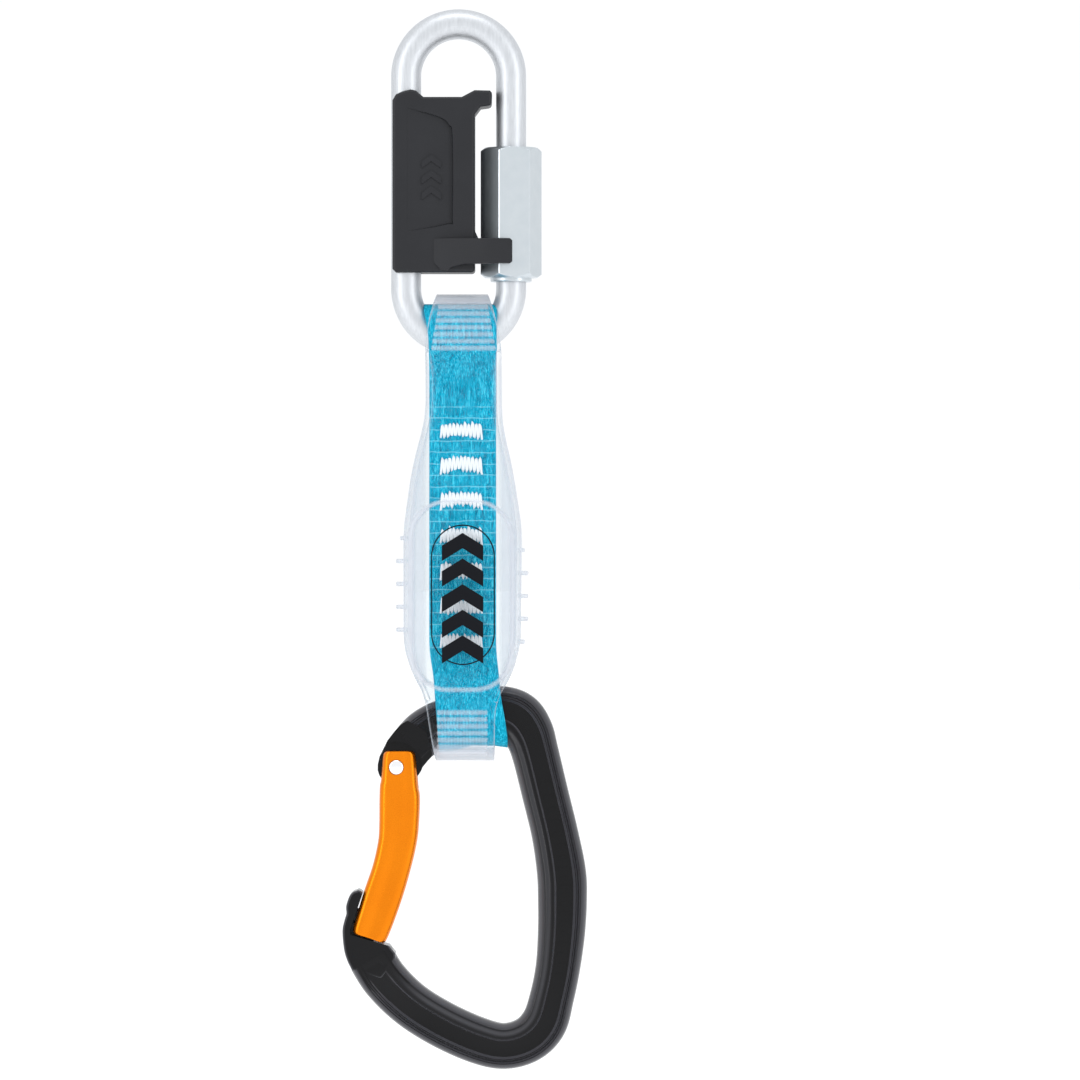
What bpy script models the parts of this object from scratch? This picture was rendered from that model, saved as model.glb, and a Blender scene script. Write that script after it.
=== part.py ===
"""Climbing quickdraw: a quick link with its keeper, a sewn sling in a clear sleeve, and a carabiner.

The origin is the inner crown of the quick link, where a bolt hanger carries the quickdraw.
+X is to the right seen from the front, +Z is up and -Y is towards the front.
All sizes and places here are in millimetres; make_object turns them into metres.
"""
import math

import bmesh
import bpy
from mathutils import Vector

MM = 0.001
GAP = 0.35                      # clearance between pieces that touch on the real object

# Quick link: a round bar bent into a stadium, open on its right leg
WIRE_RADIUS = 4.0
BEND_RADIUS = 14.0              # of the bar's centreline
TOP_BEND_Z = -10.0
BOTTOM_BEND_Z = -66.5
MOUTH_TOP_Z = -45.5             # the two bar ends meet inside the nut
MOUTH_BOTTOM_Z = -55.5
BEND_STEPS = 16

# Sleeve nut on the right leg
NUT_TOP_Z = -29.0
NUT_BOTTOM_Z = -63.6
NUT_BOSS_Z = -64.7
NUT_CORNER_RADIUS = 8.25
NUT_CORNER_ANGLE = 7.2
NUT_BOSS_RADIUS = 5.5
NUT_BORE_RADIUS = 4.35
NUT_CHAMFER = 0.9

# Keeper: a plastic plate that snaps round the left leg, with an arm that hooks over the nut
KEEPER_OUTLINE = (
    (-17.55, -16.6), (-16.6, -15.0), (-14.8, -14.2), (-12.7, -13.7), (-11.3, -14.0), (-9.3, -15.7),
    (0.9, -15.7), (4.3, -13.9), (8.4, -14.0), (8.9, -14.6), (8.8, -18.0), (5.9, -18.4), (4.4, -20.4),
    (4.4, -62.4), (-16.6, -62.4), (-17.55, -61.4))
KEEPER_HALF_DEPTH = 5.6
KEEPER_BORE_RADIUS = 4.35
KEEPER_PANEL = (
    (-14.0, -18.4), (-5.0, -21.0), (-2.4, -23.2), (-1.5, -26.4), (-1.5, -47.6), (-2.6, -49.6),
    (-14.0, -51.8))
KEEPER_PANEL_DEPTH = 1.0        # at its right edge; the panel floor runs out level at the left
ARM_PLAN = (
    (-6.6, -5.0), (-6.6, -5.8), (6.0, -9.0), (11.0, -10.1), (14.35, -9.7), (14.35, -7.5),
    (10.64, -7.97), (8.51, -5.16), (4.2, -5.0))
ARM_FRONT = (
    (-6.8, -54.0), (-6.2, -53.4), (13.7, -53.5), (14.5, -54.2), (14.5, -59.5), (13.7, -60.1),
    (1.5, -60.2), (-1.5, -60.9), (-3.0, -61.8), (-4.6, -61.8), (-6.8, -59.4))
ARM_GUSSET = ((3.6, -51.3), (4.4, -51.3), (5.4, -53.5), (5.4, -59.6), (3.6, -59.6))
ARM_GUSSET_FRONT = -5.2
ARM_GUSSET_BACK = -1.5

# Webbing, one sewn loop in three lengths that meet at the two flex lines
TOP_FLEX_Z = -95.0
BOTTOM_FLEX_Z = -170.0
UPPER_END_Z = -89.4             # lower ends of the pieces above the top flex line
LOWER_END_Z = -163.5            # lower ends of the pieces above the bottom flex line
WEB_LEFT = -7.8
WEB_RIGHT = 10.0
WEB_HALF_DEPTH = 3.0
TOP_EYE_FRONT = (
    (WEB_LEFT, UPPER_END_Z), (WEB_LEFT, -85.5), (-8.6, -82.0), (-9.2, -78.0), (-9.2, -70.9),
    (-7.6, -70.9), (-5.0, -72.9), (0.0, -74.0), (5.0, -72.9), (7.6, -70.9),
    (10.2, -70.9), (10.2, -82.0), (WEB_RIGHT, -85.5), (WEB_RIGHT, UPPER_END_Z))
TOP_EYE_RADIUS = 6.5
TOP_EYE_CENTRE_Z = -77.0
TOP_EYE_WEDGE = ((4.2, -80.5), (0.4, -88.0))
BOTTOM_EYE_FRONT = (
    (-6.9, -164.0), (-6.6, -170.0), (-6.3, -174.8), (-5.6, -182.0), (-4.8, -191.2), (-1.6, -189.6),
    (3.5, -188.0), (9.5, -188.2), (12.2, -189.0), (13.4, -188.7), (12.6, -182.0), (11.2, -174.8),
    (10.8, -170.0), (10.6, -164.0))
BOTTOM_EYE_RADIUS = 4.6
BOTTOM_EYE_SIDE = ((7.1, -176.0), (7.1, -185.0), (6.0, -188.0), (3.4, -190.8), (1.0, -191.6))

# Bar tacks
TACK_COUNT = 7
TACK_TOP_Z = -104.4
TACK_PITCH = 9.33
TACK_CENTRE_X = 0.75
TACK_HALF_WIDTH = 5.5
TACK_HALF_HEIGHT = 2.0
TACK_HALF_DEPTH = 3.4
TACK_GAP = 0.3

# Clear moulded sleeve, one moulding in three lengths that meet at the flex lines
SLEEVE_RADIUS = 5.3             # outside, round the top flex line
SLEEVE_CAVITY_HALF_DEPTH = 3.9
SLEEVE_LEFT = (
    (-8.75, -89.0), (-8.75, -98.8), (-9.36, -102.8), (-10.4, -106.8), (-11.8, -112.1),
    (-12.85, -117.5), (-14.3, -128.1), (-14.64, -130.8), (-14.64, -161.2), (-14.1, LOWER_END_Z))
SLEEVE_RIGHT = (
    (15.9, LOWER_END_Z), (16.6, -161.2), (16.9, -130.8), (16.56, -128.1), (14.9, -117.5),
    (13.9, -112.1), (12.6, -106.8), (11.8, -102.8), (11.55, -98.8), (11.55, -89.0))
SLEEVE_SIDE = ((SLEEVE_RADIUS, -105.0), (6.0, -124.0), (6.4, -145.0), (6.1, LOWER_END_Z))
TOP_CUFF_FRONT = (
    (-8.76, UPPER_END_Z), (-8.77, -81.7), (-8.29, -77.2), (-6.93, -71.3), (-5.8, -68.0),
    (7.8, -68.0), (9.1, -71.3), (10.5, -77.0), (11.4, -82.0), (11.5, UPPER_END_Z))
TOP_CUFF_RADIUS = 8.5
TOP_CUFF_CENTRE_Z = -76.5
TOP_CUFF_WINDOW_Z = -83.3       # the link bar passes out of the sides above this height
BOTTOM_CUFF_FRONT = (
    (-14.1, -163.6), (-13.3, -166.5), (-12.4, -168.9), (-8.96, -174.9), (-7.6, -183.7),
    (-6.64, -189.9), (-5.7, -192.3), (9.5, -192.3), (9.7, -187.2), (9.8, -179.0), (10.6, -175.5),
    (12.5, -172.2), (14.45, -168.9), (15.0, -166.5), (15.9, -163.6))
BOTTOM_CUFF_CAVITY = (
    (-7.2, -163.0), (-6.7, -176.4), (-16.0, -176.5), (-16.0, -191.6), (-5.1, -191.6), (-1.6, -190.0),
    (3.5, -188.4), (9.5, -188.6), (16.0, -189.3), (16.0, -171.9), (11.2, -171.8), (11.1, -163.0))
BOTTOM_CUFF_RADIUS = 6.2
BOTTOM_CUFF_SIDE = ((8.8, -176.0), (8.8, -186.0), (7.4, -189.6), (4.4, -192.3))
BOSS_LEFT = -13.5
BOSS_RIGHT = 15.0
BOSS_TOP_Z = -122.5
BOSS_CORNER_RADIUS = 10.7
BOSS_HALF_DEPTH = 7.3
RIB_PITCH = 6.1
RIB_COUNT = 5
LEFT_RIB_TOP_Z = -133.0
RIGHT_RIB_TOP_Z = -136.2
RIB_HALF_HEIGHT = 0.55
RIB_HALF_DEPTH = 3.2

# Carabiner body: centre of the bar and its width in the front view, from the hinge round to the nose
BODY_PATH = (
    (-12.72, -188.53, 11.8), (-8.99, -184.8, 12.3), (-3.92, -181.87, 11.9), (3.55, -179.55, 11.5),
    (10.48, -179.07, 13.3), (15.41, -180.8, 14.2), (18.48, -184.67, 13.6), (20.35, -190.0, 12.6),
    (23.01, -200.8, 12.4), (25.68, -211.87, 12.45), (27.41, -222.0, 13.1), (27.68, -229.47, 13.07),
    (27.41, -238.13, 12.6), (26.48, -247.33, 11.9), (24.88, -255.33, 11.8), (22.75, -262.27, 12.3),
    (18.48, -266.67, 12.2), (12.08, -268.4, 12.1), (4.88, -266.8, 12.3), (-4.59, -262.53, 12.3),
    (-12.99, -257.2, 12.2), (-19.52, -250.8, 12.3), (-23.25, -244.93, 12.4))
PATH_STEPS = 3
BODY_HALF_DEPTH = 4.75
# Bar section: fraction of the width from the inner edge, depth at the plain ends, depth between
BODY_SECTION = (
    (0.00, 1.5, 1.5), (0.06, 3.4, 3.4), (0.17, 4.75, 4.75), (0.29, 4.75, 4.5), (0.38, 4.75, 3.2),
    (0.74, 4.75, 3.2), (0.80, 4.75, 4.4), (0.91, 4.5, 4.3), (0.98, 2.6, 2.4), (1.00, 1.4, 1.4))
PLAIN_END = 0.1                 # share of the path over which the section's groove fades out
NOSE_OUTLINE = (
    (-28.3, -248.0), (-29.6, -245.3), (-30.45, -242.3), (-30.85, -237.5), (-30.3, -234.6),
    (-29.8, -232.9), (-29.9, -231.2), (-29.5, -229.5), (-28.6, -227.6), (-27.1, -226.8),
    (-25.4, -227.4), (-22.0, -236.0), (-18.4, -241.4), (-16.7, -244.6), (-20.5, -250.3))
NOSE_MOUTH = (
    (-22.4, -219.0), (-25.25, -226.0), (-29.1, -237.2), (-28.8, -238.65), (-17.6, -241.9),
    (-8.0, -240.0), (-8.0, -219.0))

# Gate hinge
PIVOT_X = -16.53
PIVOT_Z = -193.95
HINGE_OUTER = (
    (-8.6, -184.4), (-13.6, -181.5), (-15.4, -182.6), (-17.25, -184.7), (-18.85, -186.8),
    (-19.9, -188.9), (-21.0, -191.1), (-21.5, -193.2))
HINGE_INNER = ((-9.6, -194.0), (-6.9, -190.7))
CHEEK_CUT_RADIUS = 6.9
TONGUE_HALF_DEPTH = 2.0
TONGUE_LEFT_RADIUS = 5.07
CAM_RADIUS = 3.6                # where the plunger touches it with the gate shut
CAM_RISE = 1.2                  # over the gate's travel
GATE_TRAVEL = 32.0              # degrees
CAM_END_ANGLE = -5.0
RIVET_RADIUS = 1.5
RIVET_HEAD_RADIUS = 1.95
RIVET_HALF_LENGTH = 4.95
RIVET_HEAD_HEIGHT = 0.5

# Gate
GATE_OUTLINE = (
    (-19.2, -189.7), (-12.4, -189.7), (-11.3, -190.9), (-10.75, -200.1), (-10.1, -201.6),
    (-10.5, -208.5), (-10.96, -214.2), (-13.4, -223.9), (-15.8, -231.6), (-17.6, -237.9),
    (-19.4, -240.9), (-28.5, -238.2), (-24.9, -226.0), (-22.8, -220.4),
    (-21.5, -214.5), (-21.07, -211.3), (-21.07, -198.8), (-20.6, -198.1), (-20.2, -190.9))
GATE_HALF_DEPTH = 4.75
GATE_EDGE = 1.2
FORK_HALF_GAP = 2.3
FORK_FLOOR = 5.6                # below the pivot
GATE_BORE_RADIUS = 2.0
GATE_BORE_DEPTH = 20.0          # below the pivot

# Keylock: a mushroom section on the nose that the gate end slides over, turned about the pivot
KEY_RADIUS = 41.3               # from the pivot to the bulb's centre
KEY_BULB_RADIUS = 2.3
KEY_WEB_HALF = 1.3
KEY_ROOT_RADIUS = 48.5
KEY_START_ANGLE = -107.0
KEY_END_ANGLE = -97.5
KEY_GAP = 0.32

# Plunger and spring in the gate's bore
PLUNGER_TIP = 4.1               # below the pivot
PLUNGER_HEAD_RADIUS = 1.65
PLUNGER_HEAD_HEIGHT = 1.5
PLUNGER_STEM_RADIUS = 0.85
PLUNGER_STEM_LENGTH = 5.8
SPRING_RADIUS = 1.45
SPRING_WIRE_RADIUS = 0.22
SPRING_TURNS = 7
SPRING_STEPS = 10


def clear_scene():
    for obj in list(bpy.data.objects):
        bpy.data.objects.remove(obj, do_unlink=True)


def material(name, colour, roughness, metallic=0.0):
    result = bpy.data.materials.new(name)
    result.use_nodes = True
    shader = result.node_tree.nodes["Principled BSDF"]
    shader.inputs["Base Color"].default_value = (*colour, 1.0)
    shader.inputs["Roughness"].default_value = roughness
    shader.inputs["Metallic"].default_value = metallic
    return result


def make_object(name, bm, finish=None, origin=(0.0, 0.0, 0.0)):
    """Turns a mesh in millimetres into an object in metres whose origin is the given point."""
    bmesh.ops.recalc_face_normals(bm, faces=bm.faces)
    for vertex in bm.verts:
        vertex.co = (vertex.co - Vector(origin)) * MM
    mesh = bpy.data.meshes.new(name)
    bm.to_mesh(mesh)
    bm.free()
    obj = bpy.data.objects.new(name, mesh)
    obj.location = Vector(origin) * MM
    bpy.context.collection.objects.link(obj)
    if finish:
        mesh.materials.append(finish)
        mesh.shade_smooth()
        mesh.set_sharp_from_angle(angle=math.radians(35.0))
    else:
        obj.hide_render = True
        obj.display_type = "WIRE"
    return obj


def combine(obj, operation, *tools):
    for tool in tools:
        step = obj.modifiers.new(operation.title(), "BOOLEAN")
        step.operation = operation
        step.object = tool


def bevel(obj, width, segments=2, angle=50.0):
    step = obj.modifiers.new("Edges", "BEVEL")
    step.width = width * MM
    step.segments = segments
    step.limit_method = "ANGLE"
    step.angle_limit = math.radians(angle)
    step.use_clamp_overlap = False


def loft(rings, closed=False, bm=None):
    """Skins matching rings of points, and caps the two end rings unless the loft is closed."""
    bm = bm or bmesh.new()
    rows = [[bm.verts.new(point) for point in ring] for ring in rings]
    pairs = list(zip(rows, rows[1:]))
    if closed:
        pairs.append((rows[-1], rows[0]))
    for low, high in pairs:
        for i in range(len(low)):
            j = (i + 1) % len(low)
            bm.faces.new((low[i], low[j], high[j], high[i]))
    if not closed:
        bm.faces.new(rows[0])
        bm.faces.new(rows[-1])
    return bm


def front_prism(outline, half_depth, front=None):
    """Sweeps an outline of (x, z) points along Y."""
    front = -half_depth if front is None else front
    return loft([[(x, y, z) for x, z in outline] for y in (front, half_depth)])


def side_prism(outline, left, right):
    """Sweeps an outline of (y, z) points along X."""
    return loft([[(x, y, z) for y, z in outline] for x in (left, right)])


def plan_prism(outline, bottom, top):
    """Sweeps an outline of (x, y) points along Z."""
    return loft([[(x, y, z) for x, y in outline] for z in (bottom, top)])


def box(low, high, bm=None):
    corners = ((low[0], low[1]), (high[0], low[1]), (high[0], high[1]), (low[0], high[1]))
    return loft([[(x, y, z) for x, y in corners] for z in (low[2], high[2])], bm=bm)


def arc(centre, radius, start, end, steps):
    """Points of a circle in a plane from one angle to another, in degrees, both ends included."""
    angles = [math.radians(start + (end - start) * i / steps) for i in range(steps + 1)]
    return [(centre[0] + radius * math.cos(a), centre[1] + radius * math.sin(a)) for a in angles]


def mirrored(half):
    """Closes a half outline, given from the top down at positive Y, with its mirror image."""
    return list(half) + [(-y, z) for y, z in reversed(half)]


def turned(centre, axis, profile, steps, closed=False):
    """Turns a profile of (radius, height) points about a line through centre along an axis."""
    across, beside = {"x": (1, 2), "y": (2, 0), "z": (0, 1)}[axis]
    along = 3 - across - beside
    rings = []
    for radius, height in profile:
        ring = []
        for i in range(steps):
            angle = 2.0 * math.pi * i / steps
            point = list(centre)
            point[across] += radius * math.cos(angle)
            point[beside] += radius * math.sin(angle)
            point[along] += height
            ring.append(point)
        rings.append(ring)
    return loft(rings, closed)


def tube(points, radius, sides, normal):
    """A round tube along a path that bends about the given direction."""
    points = [Vector(point) for point in points]
    rings = []
    for i, point in enumerate(points):
        ahead = points[min(i + 1, len(points) - 1)]
        behind = points[max(i - 1, 0)]
        side = (ahead - behind).normalized().cross(Vector(normal)).normalized()
        up = side.cross((ahead - behind).normalized())
        angles = [2.0 * math.pi * k / sides for k in range(sides)]
        rings.append([point + side * radius * math.cos(a) + up * radius * math.sin(a) for a in angles])
    return loft(rings)


def smooth_path(points, steps):
    """Points on a Catmull-Rom curve through the given ones."""
    padded = [points[0], *points, points[-1]]
    result = []
    for i in range(len(points) - 1):
        p0, p1, p2, p3 = (Vector(p) for p in padded[i:i + 4])
        for k in range(steps):
            t = k / steps
            result.append(0.5 * ((2.0 * p1) + (p2 - p0) * t + (2.0 * p0 - 5.0 * p1 + 4.0 * p2 - p3) * t * t
                                 + (3.0 * p1 - p0 - 3.0 * p2 + p3) * t ** 3))
    result.append(Vector(points[-1]))
    return result


def link_path(lower_bend_only=False):
    """Centre of the link bar, from the lower bar end round to the upper one."""
    lower = arc((0.0, BOTTOM_BEND_Z), BEND_RADIUS, 0.0, -180.0, BEND_STEPS)
    if lower_bend_only:
        route = lower
    else:
        upper = arc((0.0, TOP_BEND_Z), BEND_RADIUS, 180.0, 0.0, BEND_STEPS)
        route = [(BEND_RADIUS, MOUTH_BOTTOM_Z), *lower, *upper, (BEND_RADIUS, MOUTH_TOP_Z)]
    return [(x, 0.0, z) for x, z in route]


def build_link_bar():
    steel = material("link_steel", (0.62, 0.63, 0.64), 0.35, 1.0)
    make_object("link_bar", tube(link_path(), WIRE_RADIUS, 16, (0.0, 1.0, 0.0)), steel)


def build_link_nut():
    steel = material("nut_steel", (0.55, 0.57, 0.59), 0.32, 1.0)
    centre = (BEND_RADIUS, 0.0, 0.0)
    flat_radius = NUT_CORNER_RADIUS * math.cos(math.radians(30.0))
    wide = NUT_CORNER_RADIUS + 0.15
    profile = (
        (NUT_BORE_RADIUS, NUT_TOP_Z), (flat_radius, NUT_TOP_Z), (wide, NUT_TOP_Z - NUT_CHAMFER),
        (wide, NUT_BOTTOM_Z + NUT_CHAMFER), (flat_radius, NUT_BOTTOM_Z), (NUT_BOSS_RADIUS, NUT_BOTTOM_Z),
        (NUT_BOSS_RADIUS, NUT_BOSS_Z), (NUT_BORE_RADIUS, NUT_BOSS_Z))
    nut = make_object("link_nut", turned(centre, "z", profile, 36, closed=True), steel, centre)
    first = NUT_CORNER_ANGLE
    hexagon = arc((BEND_RADIUS, 0.0), NUT_CORNER_RADIUS, first, first + 300.0, 5)
    flats = make_object("nut_flats", plan_prism(hexagon, NUT_BOSS_Z - 1.0, NUT_TOP_Z + 1.0))
    combine(nut, "INTERSECT", flats)


def build_keeper():
    plastic = material("keeper_plastic", (0.032, 0.033, 0.036), 0.5)
    hinge = (-BEND_RADIUS, 0.0, 0.5 * (KEEPER_OUTLINE[0][1] + KEEPER_OUTLINE[-1][1]))
    keeper = make_object("keeper_clip", front_prism(KEEPER_OUTLINE, KEEPER_HALF_DEPTH), plastic, hinge)
    bevel(keeper, 0.9)
    arm = make_object("keeper_arm", plan_prism(ARM_PLAN, ARM_FRONT[4][1] - 3.0, ARM_FRONT[0][1] + 1.0))
    arm_front = make_object("keeper_arm_front", front_prism(ARM_FRONT, 0.0, -12.0))
    combine(arm, "INTERSECT", arm_front)
    gusset = make_object("keeper_gusset", front_prism(ARM_GUSSET, ARM_GUSSET_BACK, ARM_GUSSET_FRONT))
    combine(keeper, "UNION", arm, gusset)
    bore_profile = ((KEEPER_BORE_RADIUS, -40.0), (KEEPER_BORE_RADIUS, 40.0))
    bore = make_object("keeper_bore", turned(hinge, "z", bore_profile, 32))
    left = KEEPER_PANEL[0][0]
    right = max(x for x, z in KEEPER_PANEL)
    floor = [
        [(x, -KEEPER_HALF_DEPTH + KEEPER_PANEL_DEPTH * (x - left) / (right - left), z)
         for x, z in KEEPER_PANEL],
        [(x, -KEEPER_HALF_DEPTH - 2.0, z) for x, z in KEEPER_PANEL]]
    panel = make_object("keeper_panel", loft(floor))
    combine(keeper, "DIFFERENCE", bore, panel)


def build_webbing(bar_cutter):
    # Each length is the overlap of its front outline and its side outline, with its openings cut out.
    def length_of_webbing(name, front, side, finish):
        obj = make_object(name, front_prism(front, 12.0), finish)
        across = make_object(name + "_side", side_prism(side, -20.0, 20.0))
        combine(obj, "INTERSECT", across)
        return obj

    cyan = (0.02, 0.38, 0.62)
    crown = arc((0.0, TOP_EYE_CENTRE_Z), TOP_EYE_RADIUS, 75.0, 0.0, 6)
    upper_side = mirrored([*crown, (TOP_EYE_RADIUS, -81.0), (WEB_HALF_DEPTH, UPPER_END_Z)])
    top_eye = length_of_webbing(
        "webbing_top_eye", TOP_EYE_FRONT, upper_side, material("top_eye_nylon", cyan, 0.8))
    wire_space = make_object(
        "wire_space", tube(link_path(lower_bend_only=True), WIRE_RADIUS + GAP, 24, (0.0, 1.0, 0.0)))
    wedge = make_object("eye_wedge", side_prism(mirrored(TOP_EYE_WEDGE), -14.0, 14.0))
    combine(top_eye, "DIFFERENCE", wire_space, wedge)

    web_front = (
        (WEB_LEFT, TOP_FLEX_Z + 6.0), (WEB_RIGHT, TOP_FLEX_Z + 6.0), (WEB_RIGHT, LOWER_END_Z),
        (WEB_LEFT, LOWER_END_Z))
    round_top = arc((0.0, TOP_FLEX_Z), WEB_HALF_DEPTH, 82.0, 0.0, 6)
    strap_side = mirrored([*round_top, (WEB_HALF_DEPTH, LOWER_END_Z - 1.0)])
    strap = length_of_webbing(
        "webbing_strap", web_front, strap_side, material("strap_nylon", cyan, 0.8))
    holes = bmesh.new()
    for z in tack_heights():
        tack_box(z, TACK_GAP, WEB_HALF_DEPTH + 2.0, holes)
    combine(strap, "DIFFERENCE", make_object("tack_holes", holes))

    round_top = arc((0.0, BOTTOM_FLEX_Z), BOTTOM_EYE_RADIUS, 80.0, 0.0, 6)
    lower_side = mirrored([*round_top, *BOTTOM_EYE_SIDE])
    bottom_eye = length_of_webbing(
        "webbing_bottom_eye", BOTTOM_EYE_FRONT, lower_side, material("bottom_eye_nylon", cyan, 0.8))
    combine(bottom_eye, "DIFFERENCE", bar_cutter)
    return wire_space


def tack_heights():
    return [TACK_TOP_Z - TACK_PITCH * i for i in range(TACK_COUNT)]


def tack_box(z, margin, half_depth, bm=None):
    low = (TACK_CENTRE_X - TACK_HALF_WIDTH - margin, -half_depth, z - TACK_HALF_HEIGHT - margin)
    high = (TACK_CENTRE_X + TACK_HALF_WIDTH + margin, half_depth, z + TACK_HALF_HEIGHT + margin)
    return box(low, high, bm)


def build_bar_tacks():
    for number, z in enumerate(tack_heights(), 1):
        thread = material(f"tack_thread_{number}", (0.8, 0.82, 0.84), 0.7)
        make_object(f"bar_tack_{number}", tack_box(z, 0.0, TACK_HALF_DEPTH), thread)


def sleeve_length(name, front, side, cavity_front, cavity_side):
    """One length of the sleeve: its outer shape less the space inside it."""
    clear = material(name + "_plastic", (0.75, 0.82, 0.86), 0.25)
    obj = make_object(name, front_prism(front, 14.0), clear)
    across = make_object(name + "_side", side_prism(side, -24.0, 24.0))
    cavity = make_object(name + "_cavity", front_prism(cavity_front, 13.0))
    cavity_across = make_object(name + "_cavity_side", side_prism(cavity_side, -26.0, 26.0))
    combine(cavity, "INTERSECT", cavity_across)
    combine(obj, "INTERSECT", across)
    return obj, cavity


def build_sleeve(bar_cutter, wire_space):
    left, right = WEB_LEFT - 0.3, WEB_RIGHT + 0.3

    # Top cuff: front and back straps that join over the link bar
    outer = arc((0.0, TOP_CUFF_CENTRE_Z), TOP_CUFF_RADIUS, 85.0, 0.0, 8)
    inner = arc((0.0, TOP_EYE_CENTRE_Z), TOP_EYE_RADIUS + GAP, 85.0, 0.0, 8)
    side = mirrored([*outer, (TOP_CUFF_RADIUS, -81.0), (SLEEVE_RADIUS, UPPER_END_Z)])
    cavity_side = mirrored([*inner, (TOP_EYE_RADIUS + GAP, -81.0), (WEB_HALF_DEPTH + 0.45, UPPER_END_Z - 1.0)])
    cavity_front = (
        (left, UPPER_END_Z - 1.0), (left, -85.3), (-8.95, TOP_CUFF_WINDOW_Z), (-16.0, TOP_CUFF_WINDOW_Z),
        (-16.0, -66.0), (16.0, -66.0), (16.0, TOP_CUFF_WINDOW_Z), (10.6, TOP_CUFF_WINDOW_Z),
        (right, -85.3), (right, UPPER_END_Z - 1.0))
    cuff, cavity = sleeve_length("sleeve_top_cuff", TOP_CUFF_FRONT, side, cavity_front, cavity_side)
    combine(cuff, "DIFFERENCE", cavity, wire_space)

    # Sleeve body: round top, flared grip with a raised pill-shaped boss and short side ribs
    outer = arc((0.0, TOP_FLEX_Z), SLEEVE_RADIUS, 85.0, 0.0, 8)
    inner = arc((0.0, TOP_FLEX_Z), SLEEVE_CAVITY_HALF_DEPTH, 82.0, 0.0, 6)
    side = mirrored([*outer, *SLEEVE_SIDE])
    cavity_side = mirrored([*inner, (SLEEVE_CAVITY_HALF_DEPTH, LOWER_END_Z - 2.0)])
    cavity_front = ((left, -86.0), (right, -86.0), (right, LOWER_END_Z - 1.0), (left, LOWER_END_Z - 1.0))
    body, cavity = sleeve_length("sleeve_body", SLEEVE_LEFT + SLEEVE_RIGHT, side, cavity_front, cavity_side)
    corner_z = BOSS_TOP_Z - BOSS_CORNER_RADIUS
    boss_outline = [
        (BOSS_LEFT, LOWER_END_Z),
        *arc((BOSS_LEFT + BOSS_CORNER_RADIUS, corner_z), BOSS_CORNER_RADIUS, 180.0, 90.0, 6),
        *arc((BOSS_RIGHT - BOSS_CORNER_RADIUS, corner_z), BOSS_CORNER_RADIUS, 90.0, 0.0, 6),
        (BOSS_RIGHT, LOWER_END_Z)]
    boss = make_object("sleeve_boss", front_prism(boss_outline, BOSS_HALF_DEPTH))
    ribs = bmesh.new()
    for i in range(RIB_COUNT):
        left_tip = -15.65 if i == 0 else -16.7
        right_tip = 17.7 if i in (0, RIB_COUNT - 1) else 18.6
        for low_x, high_x, top_z in ((left_tip, -12.5, LEFT_RIB_TOP_Z), (14.0, right_tip, RIGHT_RIB_TOP_Z)):
            z = top_z - RIB_PITCH * i
            box((low_x, -RIB_HALF_DEPTH, z - RIB_HALF_HEIGHT), (high_x, RIB_HALF_DEPTH, z + RIB_HALF_HEIGHT), ribs)
    combine(body, "UNION", boss, make_object("sleeve_ribs", ribs))
    combine(body, "DIFFERENCE", cavity)

    # Bottom cuff: front and back straps that join under the carabiner bar
    outer = arc((0.0, BOTTOM_FLEX_Z), BOTTOM_CUFF_RADIUS, 85.0, 0.0, 8)
    inner = arc((0.0, BOTTOM_FLEX_Z), BOTTOM_EYE_RADIUS + 0.3, 82.0, 0.0, 6)
    side = mirrored([*outer, *BOTTOM_CUFF_SIDE])
    cavity_side = mirrored([*inner, *[(y + GAP, z - 0.2) for y, z in BOTTOM_EYE_SIDE]])
    cuff, cavity = sleeve_length(
        "sleeve_bottom_cuff", BOTTOM_CUFF_FRONT, side, BOTTOM_CUFF_CAVITY, cavity_side)
    combine(cuff, "DIFFERENCE", cavity, bar_cutter)


def body_stations():
    """Centre, inward direction and width of the carabiner's bar along its path."""
    points = smooth_path(BODY_PATH, PATH_STEPS)
    stations = []
    for i, point in enumerate(points):
        ahead = points[min(i + 1, len(points) - 1)]
        behind = points[max(i - 1, 0)]
        along = Vector((ahead[0] - behind[0], ahead[1] - behind[1])).normalized()
        stations.append((Vector((point[0], point[1])), Vector((along.y, -along.x)), point[2]))
    return stations


def build_bar_cutter():
    """Space of the carabiner's bar and its clearance, where webbing and sleeve wrap round it."""
    stations = body_stations()[:8 * PATH_STEPS]
    inner = [centre + inward * (0.5 * width + GAP) for centre, inward, width in stations]
    outer = [centre - inward * (0.5 * width + GAP) for centre, inward, width in stations]
    outline = [tuple(point) for point in inner + outer[::-1]]
    return make_object("bar_space", front_prism(outline, BODY_HALF_DEPTH + GAP))


def pivot_point(radius, angle):
    angle = math.radians(angle)
    return (PIVOT_X + radius * math.cos(angle), PIVOT_Z + radius * math.sin(angle))


def cam_outline():
    """Tongue end round the pivot: a plain left side, then the plunger's cam growing to the right."""
    points = [pivot_point(TONGUE_LEFT_RADIUS, angle) for angle in (190.0, 205.0, 220.0)]
    for angle, radius in ((235.0, 4.7), (248.0, 4.1)):
        points.append(pivot_point(radius, angle))
    steps = 10
    for i in range(steps + 1):
        angle = -90.0 + (CAM_END_ANGLE + 90.0) * i / steps
        points.append(pivot_point(CAM_RADIUS + CAM_RISE * (angle + 90.0) / GATE_TRAVEL, angle))
    return points


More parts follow.
